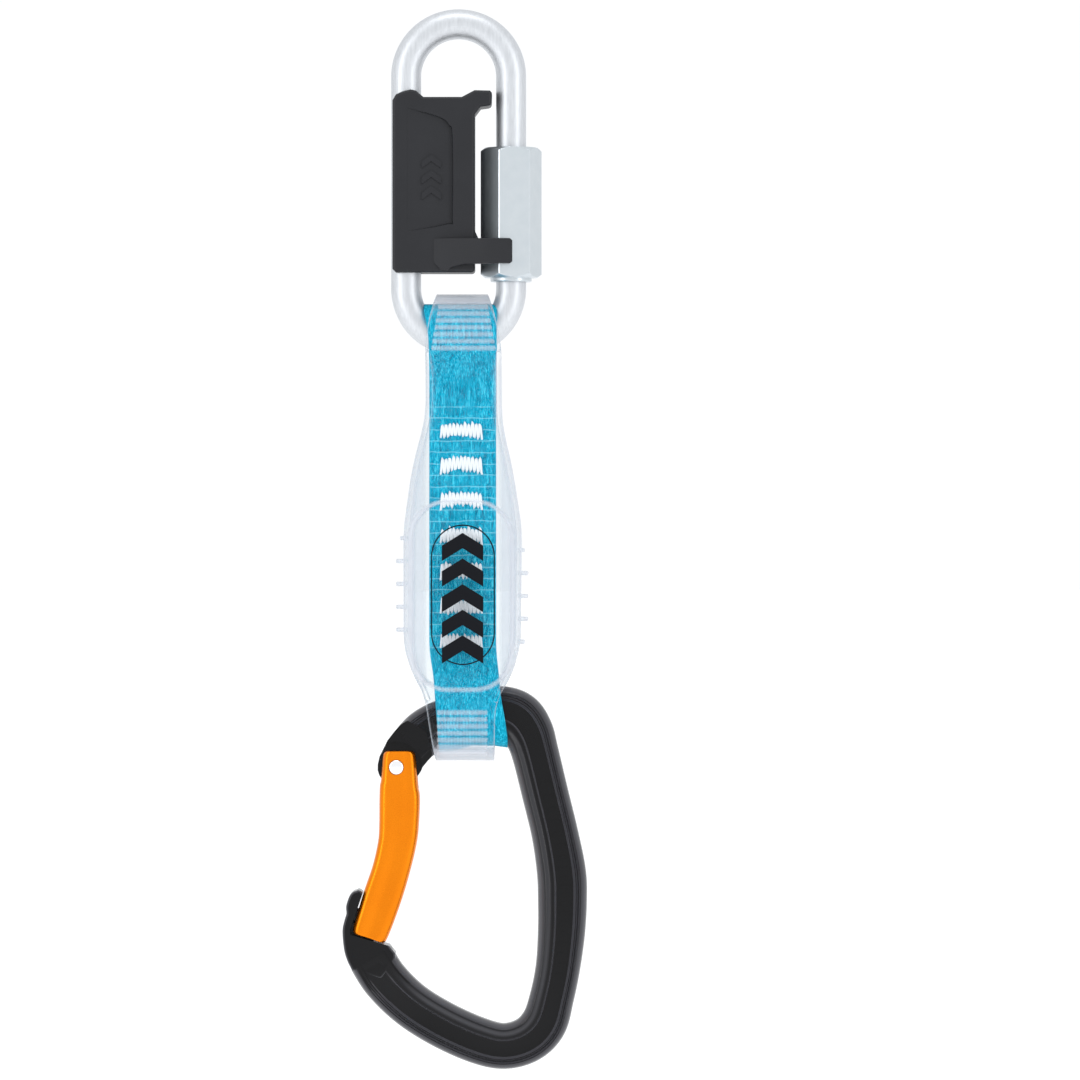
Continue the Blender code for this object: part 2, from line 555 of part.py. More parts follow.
def key_mesh(gap, root_radius, start, end):
    """Mushroom section of the keylock, swept about the pivot; a gap makes the gate's pocket."""
    web = KEY_WEB_HALF + gap
    bulb = KEY_BULB_RADIUS + gap
    lift = math.degrees(math.asin(web / bulb))
    section = arc((KEY_RADIUS, 0.0), bulb, lift, 360.0 - lift, 14)
    section += [(root_radius, -web), (root_radius, web)]
    steps = 6
    rings = []
    for i in range(steps + 1):
        angle = start + (end - start) * i / steps
        rings.append([(pivot_point(r, angle)[0], y, pivot_point(r, angle)[1]) for r, y in section])
    return loft(rings)


def build_carabiner_body():
    black = material("body_anodised", (0.018, 0.018, 0.02), 0.35, 0.4)
    stations = body_stations()
    rings = []
    for i, (centre, inward, width) in enumerate(stations):
        share = i / (len(stations) - 1)
        groove = min(1.0, min(share, 1.0 - share) / PLAIN_END)
        half = []
        for fraction, plain, grooved in BODY_SECTION:
            place = centre + inward * width * (0.5 - fraction)
            half.append((place, plain + (grooved - plain) * groove))
        ring = [(p.x, -depth, p.y) for p, depth in half]
        ring += [(p.x, depth, p.y) for p, depth in reversed(half)]
        rings.append(ring)
    body = make_object("carabiner_body", loft(rings), black)

    nose = make_object("nose", front_prism(NOSE_OUTLINE, BODY_HALF_DEPTH - 0.1))
    bevel(nose, 0.8, 1)
    mouth = make_object("nose_mouth", front_prism(NOSE_MOUTH, 8.0))
    head_outline = [*HINGE_OUTER, *cam_outline(), *HINGE_INNER]
    head = make_object("hinge_head", front_prism(head_outline, BODY_HALF_DEPTH - 0.1))
    centre = (PIVOT_X, 0.0, PIVOT_Z)
    cheeks = []
    for side in (-1.0, 1.0):
        profile = ((CHEEK_CUT_RADIUS, side * TONGUE_HALF_DEPTH), (CHEEK_CUT_RADIUS, side * 8.0))
        name = "front_cheek" if side < 0.0 else "back_cheek"
        cheeks.append(make_object(name, turned(centre, "y", profile, 48)))
    pin_radius = RIVET_RADIUS + 0.3
    pin_hole = make_object("pin_hole", turned(centre, "y", ((pin_radius, -4.0), (pin_radius, 4.0)), 24))
    key = make_object("key", key_mesh(0.0, KEY_ROOT_RADIUS, KEY_START_ANGLE, KEY_END_ANGLE))
    combine(body, "UNION", nose, head)
    combine(body, "DIFFERENCE", mouth, *cheeks, pin_hole)
    combine(body, "UNION", key)


def build_gate_rivet():
    steel = material("rivet_steel", (0.7, 0.7, 0.72), 0.25, 1.0)
    neck = RIVET_HALF_LENGTH - RIVET_HEAD_HEIGHT
    profile = (
        (RIVET_HEAD_RADIUS - 0.2, -RIVET_HALF_LENGTH), (RIVET_HEAD_RADIUS, 0.2 - RIVET_HALF_LENGTH),
        (RIVET_HEAD_RADIUS, -neck), (RIVET_RADIUS, -neck), (RIVET_RADIUS, neck),
        (RIVET_HEAD_RADIUS, neck), (RIVET_HEAD_RADIUS, RIVET_HALF_LENGTH - 0.2),
        (RIVET_HEAD_RADIUS - 0.2, RIVET_HALF_LENGTH))
    centre = (PIVOT_X, 0.0, PIVOT_Z)
    make_object("gate_rivet", turned(centre, "y", profile, 24), steel, centre)


def build_gate():
    orange = material("gate_anodised", (1.0, 0.3, 0.005), 0.35, 0.6)
    pivot = (PIVOT_X, 0.0, PIVOT_Z)
    gate = make_object("carabiner_gate", front_prism(GATE_OUTLINE, GATE_HALF_DEPTH), orange, pivot)
    bevel(gate, GATE_EDGE)
    floor_z = PIVOT_Z - FORK_FLOOR
    fork = make_object("fork_gap", box((-30.0, -FORK_HALF_GAP, floor_z), (-2.0, FORK_HALF_GAP, -185.0)))
    bore_profile = ((GATE_BORE_RADIUS, -GATE_BORE_DEPTH), (GATE_BORE_RADIUS, -FORK_FLOOR + 2.0))
    bore = make_object("gate_bore", turned(pivot, "z", bore_profile, 20))
    head_space = RIVET_HEAD_RADIUS + GAP
    pin_space = RIVET_RADIUS + GAP
    neck = RIVET_HALF_LENGTH - RIVET_HEAD_HEIGHT - 0.3
    profile = (
        (head_space, -7.0), (head_space, -neck), (pin_space, -neck), (pin_space, neck),
        (head_space, neck), (head_space, 7.0))
    rivet_space = make_object("rivet_space", turned(pivot, "y", profile, 24))
    pocket = make_object(
        "key_pocket", key_mesh(KEY_GAP, KEY_ROOT_RADIUS + 2.0, KEY_START_ANGLE - 6.0, KEY_END_ANGLE + 0.6))
    combine(gate, "DIFFERENCE", fork, bore, rivet_space, pocket)


def build_plunger():
    steel = material("plunger_steel", (0.6, 0.6, 0.6), 0.35, 1.0)
    tip = (PIVOT_X, 0.0, PIVOT_Z - PLUNGER_TIP)
    dome = arc((0.0, -PLUNGER_HEAD_RADIUS), PLUNGER_HEAD_RADIUS, 80.0, 0.0, 5)
    shoulder = -PLUNGER_HEAD_RADIUS - PLUNGER_HEAD_HEIGHT
    profile = [
        *dome, (PLUNGER_HEAD_RADIUS, shoulder), (PLUNGER_STEM_RADIUS, shoulder),
        (PLUNGER_STEM_RADIUS, shoulder - PLUNGER_STEM_LENGTH)]
    make_object("gate_plunger", turned(tip, "z", profile, 16), steel, tip)


def build_spring():
    steel = material("spring_steel", (0.6, 0.6, 0.62), 0.3, 1.0)
    end_gap = 0.3 + SPRING_WIRE_RADIUS
    bottom = PIVOT_Z - GATE_BORE_DEPTH + end_gap
    top = PIVOT_Z - PLUNGER_TIP - PLUNGER_HEAD_RADIUS - PLUNGER_HEAD_HEIGHT - end_gap
    count = SPRING_TURNS * SPRING_STEPS
    points = []
    for i in range(count + 1):
        angle = 2.0 * math.pi * i / SPRING_STEPS
        x = PIVOT_X + SPRING_RADIUS * math.cos(angle)
        points.append((x, SPRING_RADIUS * math.sin(angle), bottom + (top - bottom) * i / count))
    coil = tube(points, SPRING_WIRE_RADIUS, 6, (0.0, 0.0, 1.0))
    make_object("gate_spring", coil, steel, (PIVOT_X, 0.0, bottom - end_gap))


clear_scene()
build_link_bar()
build_link_nut()
build_keeper()
carabiner_bar_space = build_bar_cutter()
link_wire_space = build_webbing(carabiner_bar_space)
build_bar_tacks()
build_sleeve(carabiner_bar_space, link_wire_space)
build_carabiner_body()
build_gate_rivet()
build_gate()
build_plunger()
build_spring()
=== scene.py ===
"""Looks of the climbing quickdraw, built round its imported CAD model.

Sizes and places are in millimetres, in the model's frame: +X to the right, +Z up, -Y to the front.
add_piece turns them into metres.
"""
import math
import random

import bmesh
import bpy
import numpy as np
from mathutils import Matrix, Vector


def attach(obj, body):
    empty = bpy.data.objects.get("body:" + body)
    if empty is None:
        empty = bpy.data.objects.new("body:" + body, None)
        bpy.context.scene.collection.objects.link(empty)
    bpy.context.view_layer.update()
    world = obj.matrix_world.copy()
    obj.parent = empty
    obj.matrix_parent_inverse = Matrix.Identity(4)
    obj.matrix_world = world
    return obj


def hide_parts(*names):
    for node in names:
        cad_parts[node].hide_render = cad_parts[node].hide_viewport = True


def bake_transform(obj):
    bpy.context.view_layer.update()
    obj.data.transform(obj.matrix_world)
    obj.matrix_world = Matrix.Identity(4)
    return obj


MM = 0.001

# Camera and stage
VIEW_CENTRE = (21.7, -133.5)
VIEW_WIDTH = 288.0
CAMERA_DISTANCE = 1500.0
SENSOR = 36.0
FLOOR_Z = -330.0
FLOOR_REACH = 20000.0

# Quick link
WIRE_RADIUS = 4.0
BEND_RADIUS = 14.0
TOP_BEND_Z = -10.0
BOTTOM_BEND_Z = -66.5
MOUTH_TOP_Z = -45.5
MOUTH_BOTTOM_Z = -55.5
THREAD_PITCH = 1.25
THREAD_DEPTH = 0.42
THREAD_LENGTH = 7.5
THREAD_STEPS = 84
TIP_DROP, TIP_SLOPE = 1.1, 0.16
BEND_STEPS, WIRE_SIDES = 72, 48

# Nut
NUT_TOP_Z = -29.0
NUT_BOTTOM_Z = -63.6
NUT_BOSS_Z = -64.7
NUT_CORNER_RADIUS = 8.25
NUT_CORNER_ANGLE = 7.2
NUT_BOSS_RADIUS = 5.5
NUT_BORE_RADIUS = 4.35
NUT_CHAMFER = 1.0
NUT_CORNER_HALF, NUT_FLAT_ANGLE = 1.1, 57.8
NUT_CHAMFER_STEPS, NUT_LENGTH_STEPS = 9, 12
NUT_THREAD_LENGTH, NUT_THREAD_STEPS, NUT_THREAD_DEPTH = 8.0, 44, 0.3

# Keeper
KEEPER_OUTLINE = (
    (-17.55, -16.6), (-16.6, -15.0), (-14.8, -14.2), (-12.7, -13.7), (-11.3, -14.0), (-9.3, -15.7),
    (0.9, -15.7), (4.3, -13.9), (8.4, -14.0), (8.9, -14.6), (8.8, -18.0), (5.9, -18.4), (4.4, -20.4),
    (4.4, -62.4), (-16.6, -62.4), (-17.55, -61.4))
KEEPER_HALF_DEPTH = 5.6
KEEPER_BORE_RADIUS = 4.35
KEEPER_BORE_REACH, KEEPER_MIDDLE_Z = 40.0, -39.0
KEEPER_EDGE, ARM_EDGE = 0.9, 0.5
ARM_HEIGHTS, ARM_DEPTHS, GUSSET_DEPTHS = (-62.5, -53.0), (0.0, -12.0), (-1.5, -5.2)
KEEPER_PANEL = (
    (-14.0, -18.4), (-5.0, -21.0), (-2.4, -23.2), (-1.5, -26.4), (-1.5, -47.6), (-2.6, -49.6),
    (-14.0, -51.8))
KEEPER_PANEL_DEPTH = 1.0
PANEL_EDGE = 0.3
ARM_PLAN = (
    (-6.6, -5.0), (-6.6, -5.8), (6.0, -9.0), (11.0, -10.1), (14.35, -9.7), (14.35, -7.5),
    (10.64, -7.97), (8.51, -5.16), (4.2, -5.0))
ARM_FRONT = (
    (-6.8, -54.0), (-6.2, -53.4), (13.7, -53.5), (14.5, -54.2), (14.5, -59.5), (13.7, -60.1),
    (1.5, -60.2), (-1.5, -60.9), (-3.0, -61.8), (-4.6, -61.8), (-6.8, -59.4))
ARM_GUSSET = ((3.6, -51.3), (4.4, -51.3), (5.4, -53.5), (5.4, -59.6), (3.6, -59.6))
KEEPER_MARK_X, KEEPER_MARK_Z, KEEPER_MARK_PITCH = -7.2, -31.0, 4.2
KEEPER_MARK_SHAPE = (2.6, 1.9, 1.8)
KEEPER_MARK_HEIGHT = 0.35

# Webbing: side profile as (half depth, z), then the two edges as (x, z)
WEB_SEAM_Z = -132.4
WEB_UPPER_SIDE = ((6.4, -77.0), (6.4, -80.5), (5.4, -84.5), (3.7, -88.0), (3.0, -91.5), (3.0, WEB_SEAM_Z))
WEB_LOWER_SIDE = ((3.0, WEB_SEAM_Z), (3.0, -162.0), (3.7, -168.0), (5.6, -173.0), (7.0, -177.5), (7.1, -181.9))
WEB_CROWN_RADIUS = 6.4
WEB_CROWN_Z = -77.0
WEB_FOOT_RADIUS = 7.1
WEB_FOOT_Z = -181.9
WEB_LEFT = (
    (-9.25, -70.6), (-9.1, -74.0), (-8.1, -77.2), (-7.9, -82.0), (-7.8, -86.0), (-7.8, -163.0),
    (-6.6, -170.0), (-6.3, -174.8), (-5.6, -182.0), (-4.8, -191.6))
WEB_RIGHT = (
    (10.2, -70.6), (10.2, -76.0), (10.2, -82.0), (10.0, -86.0), (10.0, -163.0), (10.8, -170.0),
    (11.2, -174.8), (12.6, -182.0), (13.4, -189.0), (13.4, -191.6))
WEB_FOOT_LINE = ((-5.0, -2.2), (-1.6, -0.9), (3.5, 0.6), (9.5, 0.6), (13.4, 0.1))
WEB_PLY = 2.0
YARN_PITCH = 0.82
YARN_HEIGHT = 0.13
PICK_PITCH = 3.05
PICK_TOP_Z = -98.0
PICK_BOTTOM_Z = -163.0
PICK_DEPTH = 0.16
WEB_CORNER = 1.1
WEB_ROW_STEP = 0.45
MERGE_DISTANCE = 0.0004
# Spans of a loop from above: across a face, round a corner, down a side
WEB_COLUMNS, SLEEVE_COLUMNS = (96, 4, 4), (84, 6, 4)
OPEN_INSET = 0.12
WEB_CLOSED = ((-87.5, -88.5), (-167.0, -168.0))

# Bar tacks
TACK_COUNT = 7
TACK_TOP_Z = -104.4
TACK_PITCH = 9.33
TACK_CENTRE_X = 0.75
TACK_WIDTH = 11.0
TACK_HEIGHT = 4.2
TACK_LEGS = 22
TACK_ARCH = (0.25, 0.9, 0.8, 0.5, 0.2, -0.2, -0.7)
THREAD_RADIUS = 0.3
STITCH_FOOT, STITCH_TURNS = 2.75, ((-0.45, 3.3), (0.0, 3.42), (0.45, 3.3))

# Clear sleeve
SLEEVE_SEAM_Z = -113.0
SLEEVE_UPPER_SIDE = (
    (8.5, -76.5), (8.5, -80.5), (7.6, -84.5), (5.9, -88.5), (5.3, -92.5), (5.3, -105.0), (5.6, SLEEVE_SEAM_Z))
SLEEVE_LOWER_SIDE = (
    (5.6, SLEEVE_SEAM_Z), (6.0, -124.0), (6.3, -145.0), (6.1, -163.5), (6.3, -169.0), (7.6, -173.5),
    (8.7, -177.5), (8.8, -183.5))
SLEEVE_CROWN_RADIUS = 8.5
SLEEVE_CROWN_Z = -76.5
SLEEVE_FOOT_RADIUS = 8.8
SLEEVE_FOOT_Z = -183.5
SLEEVE_LEFT = (
    (-5.8, -68.0), (-6.93, -71.3), (-8.29, -77.2), (-8.77, -81.7), (-8.76, -89.4), (-8.75, -98.8),
    (-9.36, -102.8), (-10.4, -106.8), (-11.8, -112.1), (-12.85, -117.5), (-14.3, -128.1),
    (-14.64, -131.5), (-14.64, -161.0), (-14.1, -163.6), (-12.4, -168.9), (-8.96, -174.9),
    (-7.6, -183.7), (-6.64, -189.9), (-6.0, -192.3))
SLEEVE_RIGHT = (
    (7.8, -68.0), (9.1, -71.3), (10.5, -77.0), (11.4, -82.0), (11.5, -89.4), (11.55, -98.8),
    (11.8, -102.8), (12.6, -106.8), (13.9, -112.1), (14.9, -117.5), (16.56, -128.1),
    (16.9, -131.5), (16.6, -161.0), (15.9, -163.6), (14.45, -168.9), (10.6, -175.5),
    (9.8, -179.0), (9.7, -187.2), (9.5, -192.3))
SLEEVE_WALL = 1.3
SLEEVE_ROW_STEP = 0.34
SLEEVE_CORNER, SLEEVE_CORNER_GROWTH = 0.6, 2.4
SLEEVE_ROUNDED = ((-83.0, -90.0), (-168.0, -176.0))
TOP_WINDOW_Z = -83.3
BOTTOM_WINDOW_Z = -176.3
SLEEVE_CLOSED = (
    (TOP_WINDOW_Z + 0.5, TOP_WINDOW_Z - 0.5), (BOTTOM_WINDOW_Z + 0.5, BOTTOM_WINDOW_Z - 0.5))
BOSS_LEFT, BOSS_RIGHT = -13.5, 15.0
BOSS_TOP_Z, BOSS_BOTTOM_Z = -122.5, -174.0
BOSS_CORNER = 10.7
BOSS_HEIGHT = 1.1
BOSS_EDGE = 1.5
CUFF_RIB_COUNT = 7
TOP_RIB_Z, TOP_RIB_PITCH = -71.7, 1.8
BOTTOM_RIB_Z, BOTTOM_RIB_PITCH = -179.3, 1.8
CUFF_RIB_HEIGHT = 0.5
TOP_RIB_LEFT, TOP_RIB_RIGHT = -5.3, 7.9
TOP_RIB_LEFT_GROWTH, TOP_RIB_RIGHT_GROWTH = 1.8, 2.0
BOTTOM_RIB_LEFT, BOTTOM_RIB_RIGHT = -5.6, 7.7
SIDE_RIB_COUNT = 5
SIDE_RIB_PITCH = 6.1
SIDE_RIB_LEFT_Z, SIDE_RIB_RIGHT_Z = -133.0, -136.2
SIDE_RIB_LEFT, SIDE_RIB_RIGHT = -13.6, 15.8
LEFT_TIP, LEFT_TIP_SHORT, RIGHT_TIP, RIGHT_TIP_SHORT = -16.7, -15.65, 18.6, 17.7
SIDE_RIB_TAPER = ((0.35, 1.0), (0.1, 0.8), (0.0, 0.45))
SIDE_RIB_HALF_DEPTH, SIDE_RIB_HALF_HEIGHT = 3.1, 0.56
SIDE_RIB_SECTION = (
    (-1, -0.6), (-0.86, -1), (0.86, -1), (1, -0.6), (1, 0.6), (0.86, 1), (-0.86, 1), (-1, 0.6))
# How milky parts of the sleeve are, added to what its clear parts have; the share at the edge of the boss is a
# painted pale band, in place of the white backdrop refracted through its rounded rim
BOSS_EDGE_PAINTED_GLARE, MILK_TUBE, MILK_FOLD, MILK_SIDE_RIB = 0.3, 0.19, 0.07, 0.4
MILK_CUFF_RIB, MILK_TOP_END, MILK_BOTTOM_END = 0.24, 0.42, 0.34
MILK_TUBE_ZONE = ((-96.0, -104.0), (-171.0, -176.0))
MILK_TOP_ZONE, MILK_BOTTOM_ZONE = (-70.9, -70.3), (-188.6, -189.6)
MILK_WEB_GAP, MILK_FOLD_PLACE = 0.7, 3.6
PRINT_CENTRE_X = 1.25
PRINT_RADIUS = 8.5
PRINT_TOP_Z, PRINT_BOTTOM_Z = -129.4, -166.7
PRINT_LINE = 0.36
MARK_COUNT = 5
MARK_TOP_Z = -131.6
MARK_PITCH = 6.8
MARK_SHAPE = (5.5, 3.4, 4.1)
INK_HEIGHT = 0.07

# Two spans of height, one near the top of the loop and one near its foot
TOP_BEND = (-87.5, -102.5)
BOTTOM_BEND = (-163.0, -177.0)

# Carabiner body: centre of the bar and its width, from the hinge round to the nose
BODY_PATH = (
    (-12.72, -188.53, 11.8), (-8.99, -184.8, 12.3), (-3.92, -181.87, 11.9), (3.55, -179.55, 11.5),
    (10.48, -179.07, 13.3), (15.41, -180.8, 14.2), (18.48, -184.67, 13.6), (20.35, -190.0, 12.6),
    (23.01, -200.8, 12.4), (25.68, -211.87, 12.45), (27.41, -222.0, 13.1), (27.68, -229.47, 13.07),
    (27.41, -238.13, 12.6), (26.48, -247.33, 11.9), (24.88, -255.33, 11.8), (22.75, -262.27, 12.3),
    (18.48, -266.67, 12.2), (12.08, -268.4, 12.1), (4.88, -266.8, 12.3), (-4.59, -262.53, 12.3),
    (-12.99, -257.2, 12.2), (-19.52, -250.8, 12.3), (-23.25, -244.93, 12.4))
BODY_HALF_DEPTH = 4.75
NOSE_HALF_DEPTH = BODY_HALF_DEPTH - 0.1
NOSE_EDGE = 0.8
CUT_REACH = 8.0
BODY_STEPS = 10
# Bar section: share of the width from the inner edge, half depth at the plain ends, half depth between
BODY_SECTION = (
    (0.0, 1.2, 1.2), (0.012, 2.1, 2.1), (0.035, 3.0, 3.0), (0.065, 3.75, 3.75), (0.095, 4.3, 4.35),
    (0.12, 4.55, 4.62), (0.15, 4.7, 4.75), (0.18, 4.75, 4.6), (0.22, 4.75, 4.25), (0.26, 4.75, 3.95),
    (0.3, 4.75, 3.85), (0.33, 4.75, 3.85), (0.345, 4.75, 3.75), (0.36, 4.75, 3.3), (0.375, 4.75, 3.0),
    (0.4, 4.75, 2.95), (0.6, 4.75, 2.95), (0.72, 4.75, 3.0), (0.738, 4.75, 3.25), (0.752, 4.75, 3.85),
    (0.768, 4.75, 4.15), (0.785, 4.75, 4.15), (0.8, 4.75, 3.85), (0.815, 4.75, 3.6), (0.83, 4.75, 3.6),
    (0.845, 4.75, 3.95), (0.86, 4.72, 4.4), (0.88, 4.65, 4.5), (0.91, 4.4, 4.25), (0.945, 3.8, 3.7),
    (0.975, 2.9, 2.8), (0.992, 2.0, 2.0), (1.0, 1.3, 1.3))
PLAIN_START, PLAIN_END = 0.07, 0.12
SPINE_MARKS = (78, 134)
SPINE_MARK_PLACE, SPINE_MARK_HALF = 0.56, 0.42
SPINE_MARK_LONG, SPINE_MARK_SHORT = 0.11, 0.07
SPINE_MARK_DEPTHS = (-3.2, -2.8)
NOSE_OUTLINE = (
    (-28.3, -248.0), (-29.6, -245.3), (-30.45, -242.3), (-30.85, -237.5), (-30.3, -234.6),
    (-29.8, -232.9), (-29.9, -231.2), (-29.5, -229.5), (-28.6, -227.6), (-27.1, -226.8),
    (-25.4, -227.4), (-22.0, -236.0), (-18.4, -241.4), (-16.7, -244.6), (-20.5, -250.3))
NOSE_MOUTH = (
    (-22.2, -219.0), (-25.0, -226.0), (-28.85, -237.3), (-28.7, -238.5), (-17.6, -241.65),
    (-8.0, -240.0), (-8.0, -219.0))
PIVOT_X, PIVOT_Z = -16.53, -193.95
HINGE_OUTER = (
    (-8.6, -184.4), (-13.6, -181.5), (-15.4, -182.6), (-17.25, -184.7), (-18.85, -186.8),
    (-19.9, -188.9), (-21.0, -191.1), (-21.5, -193.2))
HINGE_INNER = ((-9.6, -194.0), (-6.9, -190.7))
CHEEK_CUT_RADIUS = 6.9
TONGUE_HALF_DEPTH = 2.0
TONGUE_LEFT_RADIUS = 5.07
CAM_RADIUS = 3.6
CAM_RISE = 1.2
GATE_TRAVEL = 32.0
CAM_END_ANGLE = -5.0
RIVET_RADIUS = 1.5
RIVET_HEAD_RADIUS = 1.95
RIVET_HALF_LENGTH = 4.95
BODY_PIN_GAP, GATE_PIN_GAP, GATE_HEAD_GAP, GATE_HEAD_DEPTH = 0.3, 0.2, 0.12, 0.85
RIVET_SPACE_REACH = 7.0
KEY_RADIUS = 41.3
KEY_BULB_RADIUS = 2.3
KEY_WEB_HALF = 1.3
KEY_ROOT_RADIUS = 48.5
KEY_START_ANGLE, KEY_END_ANGLE = -107.0, -97.5
KEY_GAP = 0.32

# Gate: its left and right edges from the top down
GATE_LEFT = (
    (-19.0, -189.6), (-19.75, -189.95), (-20.15, -190.8), (-20.45, -195.0), (-20.62, -197.9),
    (-21.07, -199.0), (-21.07, -211.3), (-21.5, -214.5), (-22.8, -220.4), (-24.9, -226.0),
    (-26.7, -232.1), (-28.35, -237.4), (-27.7, -238.45))
GATE_RIGHT = (
    (-12.6, -189.6), (-11.75, -189.95), (-11.35, -190.9), (-11.05, -195.0), (-10.8, -199.6), (-10.2, -201.4),
    (-10.5, -208.5), (-10.96, -214.2), (-13.4, -223.9), (-15.6, -231.0), (-19.0, -240.1), (-19.9, -240.75))
GATE_SECTION = (
    (0.0, 2.6), (0.012, 3.25), (0.035, 3.8), (0.07, 4.25), (0.12, 4.55), (0.18, 4.72), (0.26, 4.74),
    (0.35, 4.6), (0.43, 4.46), (0.5, 4.42), (0.57, 4.46), (0.65, 4.6), (0.74, 4.74), (0.82, 4.72),
    (0.88, 4.55), (0.93, 4.25), (0.965, 3.8), (0.988, 3.25), (1.0, 2.6))
FORK_HALF_GAP = 2.3
FORK_FLOOR = 5.6
FORK_LEFT, FORK_RIGHT, FORK_TOP_Z = -30.0, -2.0, -185.0
GATE_BORE_RADIUS = 2.0
GATE_BORE_DEPTH = 20.0

# Lights: name, place, size and watts
LAMP_TARGET = (0.0, 0.0, -140.0)
LAMPS = (
    ("left_softbox", (-900.0, -800.0, 150.0), (200.0, 1100.0), 2.9),
    ("right_softbox", (900.0, -750.0, 50.0), (180.0, 1100.0), 2.4),
    ("top_softbox", (0.0, -350.0, 900.0), (900.0, 220.0), 2.0))
WORLD_COLOUR, WORLD_STRENGTH = (0.98, 0.99, 1.0, 1.0), 1.03

# Finishes for grained_finish: a noise is its scale, its stretch and its detail
EVEN = (1.0, 1.0, 1.0)
NUT_FINISH = dict(
    name="nut_zinc_milled", dark=(194, 202, 207), light=(206, 212, 216), roughness=(0.26, 0.38),
    depth=0.006, grain=(3.5, (0.25, 0.25, 3.0), 4.0), cloud=(0.35,), metallic=0.95)
KEEPER_FINISH = dict(
    name="keeper_moulded_plastic", dark=(26, 27, 31), light=(33, 34, 38), roughness=(0.36, 0.52),
    depth=0.025, grain=(7.0,), cloud=(0.12, EVEN, 2.0), specular_ior_level=0.3)
PRINT_FINISH = dict(
    name="sleeve_print_black", dark=(8, 10, 16), light=(16, 18, 24), roughness=(0.35, 0.5),
    depth=0.01, grain=(5.0,), place="place", specular_ior_level=0.12)
GATE_FINISH = dict(
    name="gate_orange_anodised", dark=(226, 121, 2), light=(233, 130, 5), roughness=(0.24, 0.32),
    depth=0.01, grain=(8.0, (1.0, 1.0, 0.4), 3.0), cloud=(0.15, EVEN, 2.0), metallic=0.85)
RIVET_FINISH = dict(
    name="rivet_polished", dark=(236, 238, 242), light=(252, 252, 252), roughness=(0.08, 0.16),
    depth=0.006, grain=(5.0,), metallic=1.0)
PLUNGER_FINISH = dict(
    name="plunger_ground", dark=(180, 182, 186), light=(205, 207, 210), roughness=(0.25, 0.4),
    depth=0.006, grain=(5.0,), metallic=1.0)
SPRING_FINISH = dict(
    name="spring_drawn_wire", dark=(190, 192, 198), light=(215, 217, 222), roughness=(0.2, 0.3),
    depth=0.006, grain=(5.0,), metallic=1.0)


# Materials

def linear(red, green, blue):
    """A colour given as it looks on a screen, from 0 to 255, as the numbers a shader takes."""
    return tuple(((c / 255.0 + 0.055) / 1.055) ** 2.4 if c > 10 else c / 3294.6 for c in (red, green, blue))


class Finish:
    """A material being made: a Principled shader and the nodes that drive it."""

    def __init__(self, name, place="Object"):
        self.material = bpy.data.materials.new(name)
        self.material.use_nodes = True
        self.tree = self.material.node_tree
        self.shader = self.tree.nodes["Principled BSDF"]
        if place == "Object":
            where = self.add("ShaderNodeTexCoord").outputs["Object"]
            scaled = self.add("ShaderNodeVectorMath", {0: where, "Scale": 1.0 / MM}, operation="SCALE")
            self.place = scaled.outputs["Vector"]
        else:
            self.place = self.add("ShaderNodeAttribute", attribute_name=place).outputs["Vector"]

    def add(self, kind, inputs=None, **settings):
        node = self.tree.nodes.new(kind)
        for key, value in settings.items():
            setattr(node, key, value)
        for key, value in (inputs or {}).items():
            self.join(value, node.inputs[key])
        return node

    def join(self, value, socket):
        if isinstance(value, bpy.types.NodeSocket):
            self.tree.links.new(value, socket)
        elif isinstance(value, tuple) and socket.type == "RGBA":
            socket.default_value = (*value[:3], 1.0)
        else:
            socket.default_value = value

    def set(self, **inputs):
        for key, value in inputs.items():
            self.join(value, self.shader.inputs[key.replace("_", " ").title().replace("Ior", "IOR")])

    def math(self, operation, first, second=0.0, third=0.0):
        node = self.add("ShaderNodeMath", operation=operation)
        for socket, value in zip(node.inputs, (first, second, third)):
            self.join(value, socket)
        return node.outputs[0]

    def plus(self, first, second):
        return self.math("ADD", first, second)

    def times(self, first, second):
        return self.math("MULTIPLY", first, second)

    def noise(self, scale, stretch=(1.0, 1.0, 1.0), detail=3.0, turn=0.0, rough=0.5):
        """Noise whose features are about 1/scale millimetres across, before they are stretched."""
        where = self.add(
            "ShaderNodeMapping", {"Vector": self.place, "Rotation": (0.0, turn, 0.0), "Scale": stretch})
        node = self.add(
            "ShaderNodeTexNoise",
            {"Vector": where.outputs[0], "Scale": scale, "Detail": detail, "Roughness": rough})
        return node.outputs["Fac"]

    def ramp(self, value, *stops):
        node = self.add("ShaderNodeValToRGB", {"Fac": value})
        elements = node.color_ramp.elements
        while len(elements) < len(stops):
            elements.new(0.5)
        for element, (position, colour) in zip(elements, stops):
            element.position = position
            element.color = (*colour, 1.0) if isinstance(colour, tuple) else (colour, colour, colour, 1.0)
        return node.outputs["Color"]

    def mix(self, share, first, second):
        return self.add("ShaderNodeMix", {0: share, 6: first, 7: second}, data_type="RGBA").outputs[2]

    def between(self, value, low, high):
        node = self.add("ShaderNodeMapRange", {"Value": value, "To Min": low, "To Max": high})
        return node.outputs[0]

    def bump(self, height, depth, strength=1.0):
        """Bumps a given number of millimetres deep."""
        node = self.add("ShaderNodeBump", {"Height": height, "Distance": depth * MM, "Strength": strength})
        self.tree.links.new(node.outputs[0], self.shader.inputs["Normal"])


def grained_finish(name, dark, light, roughness, depth, grain, cloud=None, place="Object", **settings):
    """Roughness and bumps follow a fine noise; colour follows a broad one, or the fine one."""
    finish = Finish(name, place)
    fine = finish.noise(*grain)
    broad = finish.noise(*cloud) if cloud else fine
    finish.set(
        base_color=finish.mix(broad, linear(*dark), linear(*light)),
        roughness=finish.between(fine, *roughness), **settings)
    finish.bump(fine, depth)
    return finish.material


